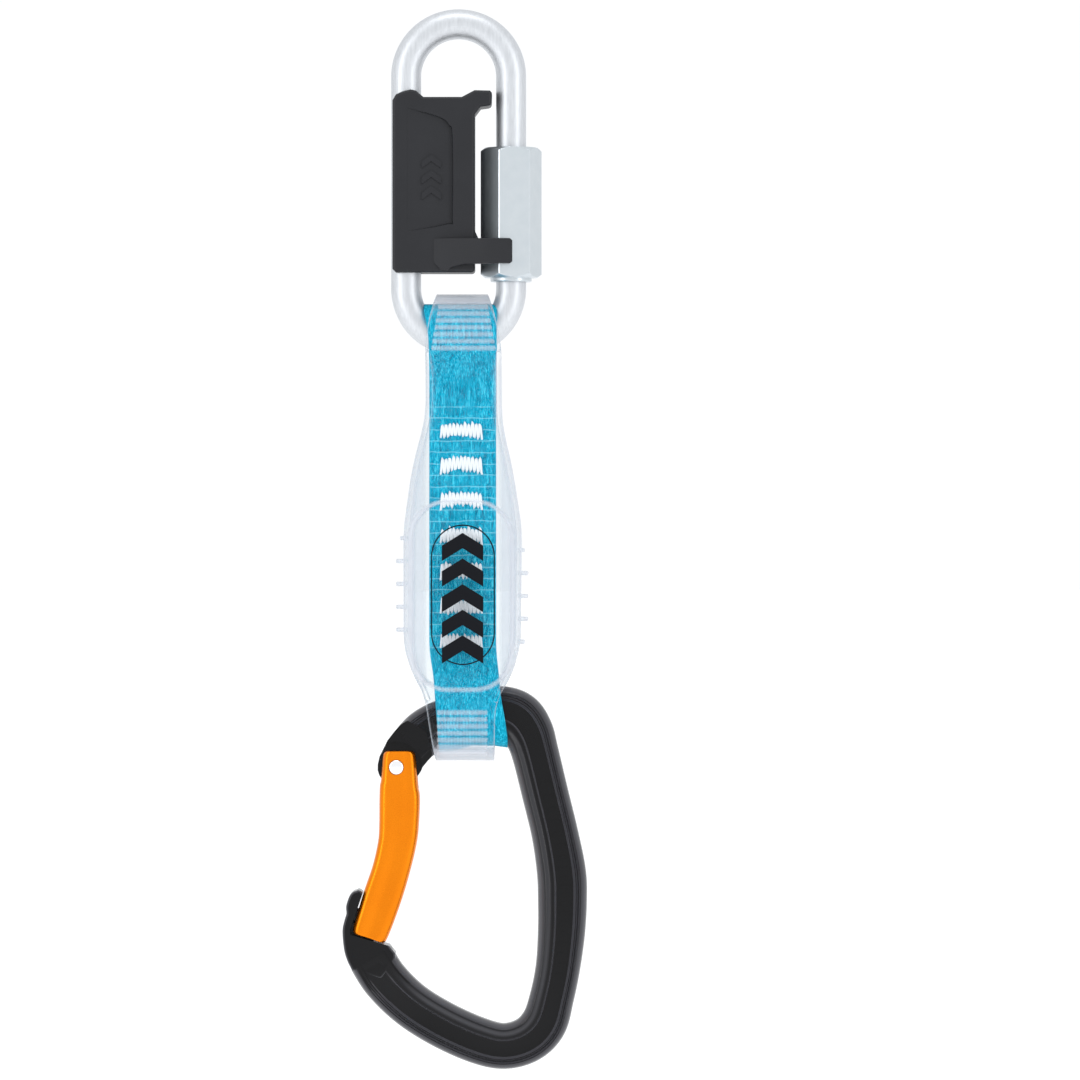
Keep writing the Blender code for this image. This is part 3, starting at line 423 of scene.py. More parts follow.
def link_finish():
    finish = Finish("link_zinc_satin")
    streaks = finish.noise(2.2, (1.0, 1.0, 0.12), 4.0)
    grain = finish.noise(9.0, detail=2.0)
    colour = finish.ramp(streaks, (0.3, linear(198, 201, 205)), (0.7, linear(211, 214, 218)))
    finish.set(base_color=colour, metallic=0.95, roughness=finish.between(streaks, 0.42, 0.5))
    finish.bump(finish.plus(streaks, finish.times(grain, 0.5)), 0.008)
    return finish.material


def webbing_finish():
    finish = Finish("webbing_woven_nylon", "place")
    fine = finish.noise(1.0, (4.2, 4.2, 0.7), 3.0, 0.16, 0.62)
    broad = finish.noise(1.0, (1.5, 1.5, 0.12), 3.0, 0.12)
    yarns = finish.plus(finish.times(fine, 0.7), finish.times(broad, 0.3))
    colour = finish.ramp(
        yarns, (0.37, linear(0, 108, 138)), (0.46, linear(0, 142, 174)), (0.54, linear(0, 166, 200)),
        (0.63, linear(70, 204, 226)))
    height = finish.add("ShaderNodeSeparateXYZ", {"Vector": finish.place}).outputs["Z"]
    wander = finish.times(finish.noise(0.25, detail=1.0), 0.8)
    lifted = finish.plus(height, wander)
    step = finish.math("PINGPONG", lifted, PICK_PITCH / 2.0)
    pick = finish.add(
        "ShaderNodeMapRange",
        {"Value": step, "From Min": 0.22, "From Max": 0.02, "To Min": 0.0, "To Max": 0.55},
        interpolation_type="SMOOTHSTEP").outputs[0]
    above = finish.math("LESS_THAN", height, PICK_TOP_Z)
    below = finish.math("GREATER_THAN", height, PICK_BOTTOM_Z)
    pick = finish.times(pick, finish.times(above, below))
    colour = finish.mix(pick, colour, linear(140, 212, 226))
    finish.set(
        base_color=colour, roughness=0.75, sheen_weight=0.03, sheen_roughness=0.4,
        specular_ior_level=0.12)
    finish.bump(yarns, 0.05)
    return finish.material


def thread_finish():
    finish = Finish("tack_thread_white")
    twist = finish.noise(6.0, (1.0, 1.0, 0.6), 2.0)
    colour = finish.mix(twist, linear(226, 230, 236), linear(252, 252, 253))
    finish.set(base_color=colour, roughness=0.6, sheen_weight=0.2)
    finish.bump(twist, 0.05)
    return finish.material


def sleeve_finish():
    """Clear where it faces the eye and milky where it turns away; lamps shine through it."""
    finish = Finish("sleeve_clear_elastomer", "place")
    cloud = finish.noise(0.35)
    finish.set(
        base_color=finish.mix(cloud, linear(196, 199, 207), linear(208, 211, 219)),
        roughness=finish.between(cloud, 0.16, 0.28), specular_ior_level=0.5)
    finish.bump(finish.noise(0.7, detail=2.0), 0.03)
    turned_away = finish.add("ShaderNodeLayerWeight", {"Blend": 0.5}).outputs["Facing"]
    milk_and_boss_glare = finish.times(finish.math("POWER", turned_away, 1.6), 0.75)
    milk_and_boss_glare = finish.plus(milk_and_boss_glare, finish.between(cloud, -0.01, 0.03))
    # This attribute holds the sleeve's milkiness and also a painted pale band of refracted backdrop light along
    # the boss's edge.
    marked_milk_and_glare = finish.add("ShaderNodeAttribute", attribute_name="milk_and_boss_glare").outputs["Fac"]
    milk_and_boss_glare = finish.math("MINIMUM", finish.math("MAXIMUM", finish.plus(milk_and_boss_glare, marked_milk_and_glare), 0.0), 0.95)
    clear = finish.add("ShaderNodeBsdfTransparent", {"Color": (0.955, 0.97, 0.978)}).outputs[0]
    skin = finish.add("ShaderNodeMixShader", {0: milk_and_boss_glare, 1: clear, 2: finish.shader.outputs[0]}).outputs[0]
    path = finish.add("ShaderNodeLightPath").outputs
    straight = finish.math("MAXIMUM", path["Is Shadow Ray"], path["Is Diffuse Ray"])
    open_air = finish.add("ShaderNodeBsdfTransparent", {"Color": (0.97, 0.98, 0.985)}).outputs[0]
    choice = finish.add("ShaderNodeMixShader", {0: straight, 1: skin, 2: open_air}).outputs[0]
    finish.join(choice, finish.tree.nodes["Material Output"].inputs["Surface"])
    return finish.material


def body_finish():
    finish = Finish("body_black_anodised")
    grain = finish.noise(8.0, detail=3.0)
    cloud = finish.noise(0.1, detail=2.0)
    # Painted highlight: the base colour grows lighter where the surface turns away from the eye, so the slopes
    # of the grooves look lit whatever the lamps do.
    slope = finish.add("ShaderNodeLayerWeight", {"Blend": 0.5}).outputs["Facing"]
    painted_slope_highlight = finish.ramp(
        slope, (0.0, linear(7, 7, 9)), (0.06, linear(26, 26, 29)), (0.2, linear(62, 62, 66)),
        (0.5, linear(70, 70, 75)), (1.0, linear(40, 40, 44)))
    finish.set(
        base_color=finish.mix(finish.between(cloud, 0.0, 0.12), painted_slope_highlight, linear(30, 30, 33)), metallic=0.0,
        roughness=finish.between(grain, 0.14, 0.22), specular_ior_level=0.2)
    finish.bump(grain, 0.008)
    return finish.material


# Mesh helpers

def add_piece(name, points, faces, material, place=False, sharp=38.0, merge=0.0):
    """Makes an object in metres from points in millimetres; a place attribute keeps each point's rest place."""
    mesh = bpy.data.meshes.new(name)
    mesh.from_pydata([tuple(float(c) for c in point) for point in points], [], faces)
    shape = bmesh.new()
    shape.from_mesh(mesh)
    if merge:
        bmesh.ops.remove_doubles(shape, verts=shape.verts, dist=merge)
    bmesh.ops.recalc_face_normals(shape, faces=shape.faces)
    shape.to_mesh(mesh)
    shape.free()
    if place:
        attribute = mesh.attributes.new("place", "FLOAT_VECTOR", "POINT")
        flat = np.zeros(len(mesh.vertices) * 3, np.float32)
        mesh.vertices.foreach_get("co", flat)
        attribute.data.foreach_set("vector", flat)
    mesh.transform(((MM, 0, 0, 0), (0, MM, 0, 0), (0, 0, MM, 0), (0, 0, 0, 1)))
    piece = bpy.data.objects.new(name, mesh)
    bpy.context.scene.collection.objects.link(piece)
    if material:
        mesh.materials.append(material)
        mesh.shade_smooth()
        mesh.set_sharp_from_angle(angle=math.radians(sharp))
    return piece


def loft(rings, closed=False, points=None, faces=None):
    """Skins matching rings of points, into new lists or onto given ones; capped unless closed."""
    points = [] if points is None else points
    faces = [] if faces is None else faces
    first = len(points)
    size = len(rings[0])
    for ring in rings:
        points.extend(ring)
    for row in range(len(rings) if closed else len(rings) - 1):
        low = first + row * size
        high = first + ((row + 1) % len(rings)) * size
        for i in range(size):
            j = (i + 1) % size
            faces.append((low + i, low + j, high + j, high + i))
    if not closed:
        for start in (first, first + (len(rings) - 1) * size):
            faces.append(tuple(range(start, start + size)))
    return points, faces


def front_prism(outline, back, front):
    return loft([[(x, y, z) for x, z in outline] for y in (front, back)])


def arc(centre, radius, start, end, steps):
    """Points of a circle in a plane from one angle to another, in degrees, both ends included."""
    angles = [math.radians(start + (end - start) * i / steps) for i in range(steps + 1)]
    return [(centre[0] + radius * math.cos(a), centre[1] + radius * math.sin(a)) for a in angles]


def turned(centre, axis, profile, steps):
    """Turns a profile of (radius, height) points about a line through centre along an axis."""
    across, beside, along = {"y": (2, 0, 1), "z": (0, 1, 2)}[axis]
    rings = []
    for radius, height in profile:
        ring = []
        for i in range(steps):
            angle = 2.0 * math.pi * i / steps
            point = list(centre)
            point[across] += radius * math.cos(angle)
            point[beside] += radius * math.sin(angle)
            point[along] += height
            ring.append(point)
        rings.append(ring)
    return loft(rings)


def tube_rings(path, radius, sides):
    """Rings along a path that never runs along Y; radius is a number or takes (index, angle)."""
    path = [Vector(point) for point in path]
    rings = []
    for i, point in enumerate(path):
        along = (path[min(i + 1, len(path) - 1)] - path[max(i - 1, 0)]).normalized()
        side = along.cross(Vector((0.0, 1.0, 0.0))).normalized()
        up = side.cross(along)
        ring = []
        for k in range(sides):
            angle = 2.0 * math.pi * k / sides
            reach = radius(i, angle) if callable(radius) else radius
            ring.append(point + side * reach * math.cos(angle) + up * reach * math.sin(angle))
        rings.append(ring)
    return rings


def smooth_path(points, steps):
    """Points on a Catmull-Rom curve through the given ones."""
    padded = [points[0], *points, points[-1]]
    result = []
    for i in range(len(points) - 1):
        p0, p1, p2, p3 = (Vector(p) for p in padded[i:i + 4])
        for k in range(steps):
            t = k / steps
            result.append(0.5 * ((2.0 * p1) + (p2 - p0) * t + (2.0 * p0 - 5.0 * p1 + 4.0 * p2 - p3) * t * t
                                 + (3.0 * p1 - p0 - 3.0 * p2 + p3) * t ** 3))
    result.append(Vector(points[-1]))
    return result


def smoothstep(low, high, value):
    share = np.clip((np.asarray(value, float) - low) / (high - low), 0.0, 1.0)
    return share * share * (3.0 - 2.0 * share)


def fade(low, high, value):
    return float(1.0 - smoothstep(low, high, value))


def within(z, top, bottom):
    """One between two heights; it rises over the top pair and falls over the bottom pair."""
    return smoothstep(*top, z) * (1.0 - smoothstep(*bottom, z))


def both_faces(half):
    """A ring from (x, z, half depth) points: along the front, and back along the back."""
    return [(x, -d, z) for x, z, d in half] + [(x, d, z) for x, z, d in reversed(half)]


def settle(obj, tools=()):
    """Makes an object's modifiers permanent and removes the objects that they used."""
    mesh = bpy.data.meshes.new_from_object(obj.evaluated_get(bpy.context.evaluated_depsgraph_get()))
    obj.modifiers.clear()
    obj.data = mesh
    for tool in tools:
        bpy.data.objects.remove(tool, do_unlink=True)


def combine(obj, operation, *tools):
    for tool in tools:
        step = obj.modifiers.new(operation.title(), "BOOLEAN")
        step.operation = operation
        step.object = tool


def bevel(obj, width, segments=3, angle=50.0):
    step = obj.modifiers.new("Edges", "BEVEL")
    step.width = width * MM
    step.segments = segments
    step.limit_method = "ANGLE"
    step.angle_limit = math.radians(angle)
    step.use_clamp_overlap = False


def tool(name, shape):
    return add_piece(name, *shape, None)


def finish_edges(obj, sharp):
    obj.data.shade_smooth()
    obj.data.set_sharp_from_angle(angle=math.radians(sharp))
    step = obj.modifiers.new("Shading", "WEIGHTED_NORMAL")
    step.keep_sharp = True
    step.weight = 80


# Link

def build_link():
    lower = arc((0.0, BOTTOM_BEND_Z), BEND_RADIUS, 0.0, -180.0, BEND_STEPS)
    upper = arc((0.0, TOP_BEND_Z), BEND_RADIUS, 180.0, 0.0, BEND_STEPS)
    spacing = THREAD_LENGTH / THREAD_STEPS
    start = [(BEND_RADIUS, MOUTH_BOTTOM_Z - spacing * i) for i in range(THREAD_STEPS)]
    end = [(BEND_RADIUS, MOUTH_TOP_Z + spacing * i) for i in range(THREAD_STEPS)][::-1]
    left = [(-BEND_RADIUS, BOTTOM_BEND_Z + (TOP_BEND_Z - BOTTOM_BEND_Z) * i / 20.0) for i in range(1, 20)]
    right = [(BEND_RADIUS, TOP_BEND_Z + (end[0][1] - TOP_BEND_Z) * i / 10.0) for i in range(1, 10)]
    path = [(x, 0.0, z) for x, z in [*start, *lower, *left, *upper, *right, *end]]
    count = len(path)

    def radius(i, angle):
        step = min(i, count - 1 - i)
        if step >= THREAD_STEPS:
            return WIRE_RADIUS
        phase = (step * spacing / THREAD_PITCH + angle / (2.0 * math.pi)) % 1.0
        runout = min(1.0, 3.0 * (1.0 - step / THREAD_STEPS))
        depth = THREAD_DEPTH * (1.0 - abs(2.0 * phase - 1.0)) * runout
        return WIRE_RADIUS - max(depth, TIP_DROP - TIP_SLOPE * step)

    link = add_piece("link_bar_bent", *loft(tube_rings(path, radius, WIRE_SIDES)), link_finish(), sharp=50.0)
    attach(link, "link")
    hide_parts("link_bar")


def build_nut():
    """A hexagon whose ends are turned to a cone, so that each flat ends in a curved chamfer."""
    flat_radius = NUT_CORNER_RADIUS * math.cos(math.radians(30.0))
    side_steps = 20
    angles = []
    for corner in range(6):
        base = NUT_CORNER_ANGLE + 60.0 * corner
        angles += [base - NUT_CORNER_HALF, base + NUT_CORNER_HALF]
        angles += [base + NUT_CORNER_HALF + NUT_FLAT_ANGLE * k / side_steps for k in range(1, side_steps)]

    def circle(radius, z, hexagonal=False):
        result = []
        for angle in angles:
            from_middle = (angle - NUT_CORNER_ANGLE) % 60.0 - 30.0
            flat = flat_radius / math.cos(math.radians(from_middle))
            r = min(flat, radius) if hexagonal else radius
            a = math.radians(angle)
            result.append((BEND_RADIUS + r * math.cos(a), r * math.sin(a), z))
        return result

    def hexagon(limit, z):
        return circle(limit, z, True)

    steps = NUT_CHAMFER_STEPS
    growth = NUT_CORNER_RADIUS - flat_radius + 0.15
    cone = [(flat_radius - 0.1 + growth * k / steps, NUT_CHAMFER * k / steps) for k in range(steps + 1)]
    top, bottom, end, bore = NUT_TOP_Z, NUT_BOTTOM_Z, NUT_BOSS_Z, NUT_BORE_RADIUS
    rings = [circle(r, z) for r, z in (
        (bore, top - 2.0), (bore, top - 0.5), (bore + 0.5, top), (flat_radius - 0.35, top))]
    rings += [hexagon(r, top - drop) for r, drop in cone]
    straight = top - bottom - 2.0 * NUT_CHAMFER
    for k in range(1, NUT_LENGTH_STEPS):
        z = top - NUT_CHAMFER - straight * k / NUT_LENGTH_STEPS
        rings.append(hexagon(NUT_CORNER_RADIUS - 0.06, z))
    rings += [hexagon(r, bottom + drop) for r, drop in reversed(cone)]
    rings += [circle(r, z) for r, z in (
        (flat_radius - 0.35, bottom), (NUT_BOSS_RADIUS + 0.15, bottom), (NUT_BOSS_RADIUS, bottom - 0.15),
        (NUT_BOSS_RADIUS, end + 0.2), (NUT_BOSS_RADIUS - 0.2, end), (bore + 0.25, end), (bore, end + 0.25))]
    for k in range(NUT_THREAD_STEPS):
        height = NUT_THREAD_LENGTH * k / NUT_THREAD_STEPS
        ridge = 1.0 - abs(2.0 * ((height / THREAD_PITCH) % 1.0) - 1.0)
        rings.append(circle(bore + NUT_THREAD_DEPTH * ridge, end + 0.4 + height))
    rings.append(circle(bore, end + 9.0))
    nut = add_piece("nut_turned", *loft(rings, closed=True), grained_finish(**NUT_FINISH), sharp=24.0)
    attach(nut, "nut")
    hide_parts("link_nut")


def grown(outline, amount):
    """An outline moved outward by an amount, or inward if it is negative."""
    columns = list(zip(*outline))
    middles = [sum(column) / len(outline) for column in columns]
    factors = [1.0 + 2.0 * amount / (max(column) - min(column)) for column in columns]
    return [tuple(m + (c - m) * f for c, m, f in zip(point, middles, factors)) for point in outline]


def build_keeper():
    plate = add_piece("keeper_moulded", *front_prism(KEEPER_OUTLINE, KEEPER_HALF_DEPTH, -KEEPER_HALF_DEPTH),
                      grained_finish(**KEEPER_FINISH))
    bevel(plate, KEEPER_EDGE, 5)
    arm = tool("keeper_arm", loft([[(x, y, z) for x, y in ARM_PLAN] for z in ARM_HEIGHTS]))
    arm_front = tool("keeper_arm_front", front_prism(ARM_FRONT, *ARM_DEPTHS))
    bevel(arm_front, ARM_EDGE)
    combine(arm, "INTERSECT", arm_front)
    gusset = tool("keeper_gusset", front_prism(ARM_GUSSET, *GUSSET_DEPTHS))
    combine(plate, "UNION", arm, gusset)
    bore_line = ((KEEPER_BORE_RADIUS, -KEEPER_BORE_REACH), (KEEPER_BORE_RADIUS, KEEPER_BORE_REACH))
    bore = tool("keeper_bore", turned((-BEND_RADIUS, 0.0, KEEPER_MIDDLE_Z), "z", bore_line, 64))
    left = KEEPER_PANEL[0][0]
    right = max(x for x, z in KEEPER_PANEL)

    def panel_floor(x, z):
        return -KEEPER_HALF_DEPTH + KEEPER_PANEL_DEPTH * (x - left) / (right - left)

    curve = [tuple(p) for p in smooth_path(KEEPER_PANEL, 3)]
    floor = [(x, panel_floor(x, z), z) for x, z in grown(curve, -PANEL_EDGE)]
    above = [(x, -KEEPER_HALF_DEPTH - 2.0, z) for x, z in grown(curve, 2.0 * PANEL_EDGE)]
    panel = tool("keeper_panel", loft([floor, above]))
    combine(plate, "DIFFERENCE", bore, panel)
    settle(plate, (arm, arm_front, gusset, bore, panel))
    finish_edges(plate, 34.0)
    points, faces = [], []
    for i in range(3):
        mark_line = chevron(KEEPER_MARK_X, KEEPER_MARK_Z - KEEPER_MARK_PITCH * i, *KEEPER_MARK_SHAPE)
        raised_strip(mark_line, panel_floor, KEEPER_MARK_HEIGHT, points, faces)
    mark = add_piece("keeper_mark", points, faces, plate.data.materials[0], sharp=30.0)
    for piece in (plate, mark):
        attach(piece, "keeper")
        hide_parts("keeper_clip")


# Webbing and sleeve

def lengths_along(curve):
    return np.concatenate(([0.0], np.cumsum(np.hypot(*np.diff(curve, axis=0).T))))


def averaged(corners, lengths, marks, room, shares):
    """Points on a line through corners, each the mean of the line over its room on both sides."""
    total = np.zeros((len(marks), 2))
    for share in shares:
        place = marks + share * room
        total += np.stack([np.interp(place, lengths, corners[:, i]) for i in (0, 1)], 1)
    return total / len(shares)


def eased(points, reach):
    """An even line through points with its corners rounded over a reach; its two ends stay put."""
    corners = np.array(points, float)
    lengths = lengths_along(corners)
    marks = np.linspace(0.0, lengths[-1], int(lengths[-1] / 0.25) + 2)
    room = np.minimum(reach, np.minimum(marks, lengths[-1] - marks))
    return averaged(corners, lengths, marks, room, np.linspace(-1.0, 1.0, 15))


def edge(points):
    """A function that gives an edge's x at a height, on a rounded line through (x, z) points."""
    line = eased(points, 3.0)[::-1]
    return lambda z: np.interp(z, line[:, 1], line[:, 0])


def side_rows(points, step):
    """Even rows along a side profile of (half depth, z) points from the top down, with outward directions."""
    curve = np.array(points, float)
    lengths = lengths_along(curve)
    marks = np.linspace(0.0, lengths[-1], max(2, round(lengths[-1] / step)) + 1)

    def at(places):
        places = np.clip(places, 0.0, lengths[-1])
        return [np.interp(places, lengths, curve[:, i]) for i in (0, 1)]

    run = np.subtract(at(marks + 0.5), at(marks - 0.5))
    size = np.hypot(*run)
    return list(zip(*at(marks), -run[1] / size, run[0] / size))


def crown_side(radius, z, points):
    return [(max(d, 0.0), h) for d, h in arc((0.0, z), radius, 90.0, 0.0, 40)] + [
        tuple(p) for p in eased(points, 3.0)[1:]]


def foot_side(points, radius, z):
    return [tuple(p) for p in eased(points, 3.0)] + [
        (max(d, 0.0), h) for d, h in arc((0.0, z), radius, 0.0, -90.0, 40)[1:]]


def loop_points(left, right, depth, corner, columns):
    """Points of a rounded rectangle seen from above, with how much each takes part in the face's relief."""
    flat, bend, side = columns
    corner = max(min(corner, 0.97 * depth, 0.45 * (right - left)), 0.0)
    spots = []

    def add_corner(x, way, facing, shares):
        for share in shares:
            a = 0.5 * math.pi * share
            y = facing * (depth - corner + corner * math.sin(a))
            spots.append((x + way * corner * (1.0 - math.cos(a)), y, facing * math.sin(a) ** 2))

    for facing in (-1.0, 1.0):
        way = -facing
        start, end = (left, right) if facing < 0.0 else (right, left)
        add_corner(start, way, facing, [k / bend for k in range(bend + 1)])
        for k in range(1, flat):
            x = start + way * corner + (end - start - 2.0 * way * corner) * k / flat
            spots.append((x, facing * depth, facing))
        add_corner(end, -way, facing, [1.0 - k / bend for k in range(bend + 1)])
        for k in range(1, side):
            spots.append((end, facing * (depth - corner) * (1.0 - 2.0 * k / side), 0.0))
    return np.array(spots).T


def build_shell(rows, edges, wall, corner, closed_share, relief, warp, columns):
    """A flat tube that ends in a strap round a crown. Its sides are open where closed_share is under a half."""
    flat, bend, side = columns
    half = 2 * (bend + 1) + (flat - 1) + (side - 1)
    count = 2 * half
    is_side = [(j % half) >= half - side for j in range(count)]
    layers = []
    for inner in (False, True):
        grid = []
        for depth, z, out_depth, out_z in rows:
            share = float(closed_share(z))
            left, right = float(edges[0](z)), float(edges[1](z))
            inset = (OPEN_INSET + (wall - OPEN_INSET) * share) if inner else 0.0
            deep = max(depth - (wall * out_depth if inner else 0.0), 0.0)
            high = z - (wall * out_z if inner else 0.0)
            round_corner = float(corner(z)) - (min(0.6, wall) * share if inner else 0.0)
            xs, ys, weights = loop_points(left + inset, right - inset, deep, max(round_corner, 0.15), columns)
            rise = relief(xs, z, inner) * np.abs(weights)
            ys = ys + np.sign(weights) * rise * out_depth
            zs = high + rise * out_z + warp(xs, z)
            grid.append(np.stack([xs, ys, zs], 1))
        layers.append(np.concatenate(grid))
    points = np.concatenate(layers)
    faces = []
    total = len(rows)
    kept = [[not (is_side[j] and closed_share(0.5 * (rows[i][1] + rows[i + 1][1])) < 0.5)
             for j in range(count)] for i in range(total - 1)]
    shift = total * count
    for i in range(total - 1):
        for j in range(count):
            k = (j + 1) % count
            a, b, c, d = i * count + j, i * count + k, (i + 1) * count + k, (i + 1) * count + j
            if kept[i][j]:
                faces.append((a, b, c, d))
                faces.append((shift + d, shift + c, shift + b, shift + a))
            if kept[i][j] != kept[i][(j - 1) % count]:
                faces.append((a, d, shift + d, shift + a))
            if i and kept[i][j] != kept[i - 1][j]:
                faces.append((a, b, shift + b, shift + a))
    return points, faces


def nothing(xs, z, inner=False):
    return np.zeros(len(xs))


def yarn_relief(xs, z, inner):
    """Ribs of the lengthwise yarns, dipping at each crosswise pick."""
    if inner:
        return nothing(xs, z)
    lean = 0.35 * math.sin(0.06 * z)
    ridges = YARN_HEIGHT * (np.abs(np.cos(math.pi * (xs + lean) / YARN_PITCH)) - 1.0)
    if not PICK_BOTTOM_Z < z < PICK_TOP_Z:
        return ridges
    phase = abs((z / PICK_PITCH) % 1.0 - 0.5) * PICK_PITCH
    return ridges - PICK_DEPTH * fade(0.1, 0.55, abs(phase - 0.5 * PICK_PITCH))


def web_foot_warp(xs, z):
    """The foot of the loop follows the slope of the bar it passes under."""
    line_x, line_z = zip(*WEB_FOOT_LINE)
    return np.interp(xs, line_x, line_z) * float(smoothstep(-178.0, -189.0, z))


def bent(piece):
    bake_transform(piece)


def build_webbing():
    finish = webbing_finish()
    edges = (edge(WEB_LEFT), edge(WEB_RIGHT))
    upper = side_rows(crown_side(WEB_CROWN_RADIUS, WEB_CROWN_Z, WEB_UPPER_SIDE), WEB_ROW_STEP)
    lower = side_rows(foot_side(WEB_LOWER_SIDE, WEB_FOOT_RADIUS, WEB_FOOT_Z), WEB_ROW_STEP)
    parts = (
        ("webbing_upper_half", upper, nothing, ("link", "sling"), TOP_BEND,
         ("webbing_top_eye", "webbing_strap")),
        ("webbing_lower_half", lower, web_foot_warp, ("sling", "carabiner"), BOTTOM_BEND,
         ("webbing_bottom_eye", "webbing_strap")))
    for name, rows, warp, bodies, zone, nodes in parts:
        shape = build_shell(
            rows, edges, WEB_PLY, lambda z: WEB_CORNER, lambda z: within(z, *WEB_CLOSED), yarn_relief, warp,
            WEB_COLUMNS)
        piece = add_piece(name, *shape, finish, place=True, sharp=60.0, merge=MERGE_DISTANCE)
        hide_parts(*nodes)
        bent(piece)


def build_bar_tacks():
    finish = thread_finish()
    chance = random.Random(7)
    half = 0.5 * TACK_WIDTH / TACK_LEGS
    for number in range(TACK_COUNT):
        z = TACK_TOP_Z - TACK_PITCH * number
        arch = TACK_ARCH[number]
        points, faces = [], []
        for facing in (-1.0, 1.0):
            path = []
            for leg in range(TACK_LEGS + 1):
                x = TACK_CENTRE_X + TACK_WIDTH * (leg / TACK_LEGS - 0.5)
                lift = arch * (1.0 - (2.0 * leg / TACK_LEGS - 1.0) ** 2) - 0.3 * arch
                up = 1.0 if leg % 2 else -1.0
                reach = 0.5 * TACK_HEIGHT + chance.uniform(-0.7, 0.3)
                path.append((x, STITCH_FOOT * facing, z + lift + up * reach))
                if leg < TACK_LEGS:
                    for share, out in STITCH_TURNS:
                        across = x + half + half * share
                        path.append((across, out * facing, z + lift - up * reach * share * 1.6))
            loft(tube_rings(path, THREAD_RADIUS, 6), points=points, faces=faces)
        piece = add_piece(f"tack_stitches_{number + 1}", points, faces, finish, sharp=70.0)
        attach(piece, "sling")
        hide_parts(f"bar_tack_{number + 1}")


def inside_pill(xs, z, left, right, top, bottom, corner):
    """How far points lie inside an upright rounded rectangle; negative outside."""
    middle_x, middle_z = 0.5 * (left + right), 0.5 * (top + bottom)
    across = np.abs(xs - middle_x) - (0.5 * (right - left) - corner)
    along = abs(z - middle_z) - (0.5 * (top - bottom) - corner)
    outside = np.hypot(np.maximum(across, 0.0), max(along, 0.0))
    return corner - outside - np.minimum(np.maximum(across, along), 0.0)


def inside_boss(xs, z):
    return inside_pill(xs, z, BOSS_LEFT, BOSS_RIGHT, BOSS_TOP_Z, BOSS_BOTTOM_Z, BOSS_CORNER)


def boss_relief(xs, z):
    return BOSS_HEIGHT * smoothstep(0.0, BOSS_EDGE, inside_boss(xs, z))


def cuff_bands(top_share):
    """Each cuff's first rib, rib pitch, and the ribs' two ends; the top ribs are wider further down."""
    left = TOP_RIB_LEFT - TOP_RIB_LEFT_GROWTH * top_share
    right = TOP_RIB_RIGHT + TOP_RIB_RIGHT_GROWTH * top_share
    return ((TOP_RIB_Z, TOP_RIB_PITCH, left, right),
            (BOTTOM_RIB_Z, BOTTOM_RIB_PITCH, BOTTOM_RIB_LEFT, BOTTOM_RIB_RIGHT))


def sleeve_relief(xs, z, inner):
    rise = boss_relief(xs, z)
    if inner:
        return rise
    for i in range(CUFF_RIB_COUNT):
        for first, pitch, left, right in cuff_bands(i / (CUFF_RIB_COUNT - 1)):
            from_rib = abs(z - (first - pitch * i))
            if from_rib < 1.0:
                across = smoothstep(0.0, 0.5, np.minimum(xs - left, right - xs))
                rise = rise + CUFF_RIB_HEIGHT * fade(0.35, 0.75, from_rib) * across
    return rise


def sleeve_corner(z):
    return SLEEVE_CORNER + SLEEVE_CORNER_GROWTH * float(within(z, *SLEEVE_ROUNDED))


def side_ribs(points, faces):
    """Short bars that stand out of the sleeve's two edges."""
    for i in range(SIDE_RIB_COUNT):
        left_tip = LEFT_TIP_SHORT if i == 0 else LEFT_TIP
        right_tip = RIGHT_TIP_SHORT if i in (0, SIDE_RIB_COUNT - 1) else RIGHT_TIP
        for tip, root, top_z in (
                (left_tip, SIDE_RIB_LEFT, SIDE_RIB_LEFT_Z), (right_tip, SIDE_RIB_RIGHT, SIDE_RIB_RIGHT_Z)):
            z = top_z - SIDE_RIB_PITCH * i
            way = 1.0 if tip > root else -1.0
            rings = []
            for x, size in ((root, 1.0), *((tip - way * back, size) for back, size in SIDE_RIB_TAPER)):
                rings.append([(x, SIDE_RIB_HALF_DEPTH * size * y, z + SIDE_RIB_HALF_HEIGHT * size * h)
                              for y, h in SIDE_RIB_SECTION])
            loft(rings, points=points, faces=faces)


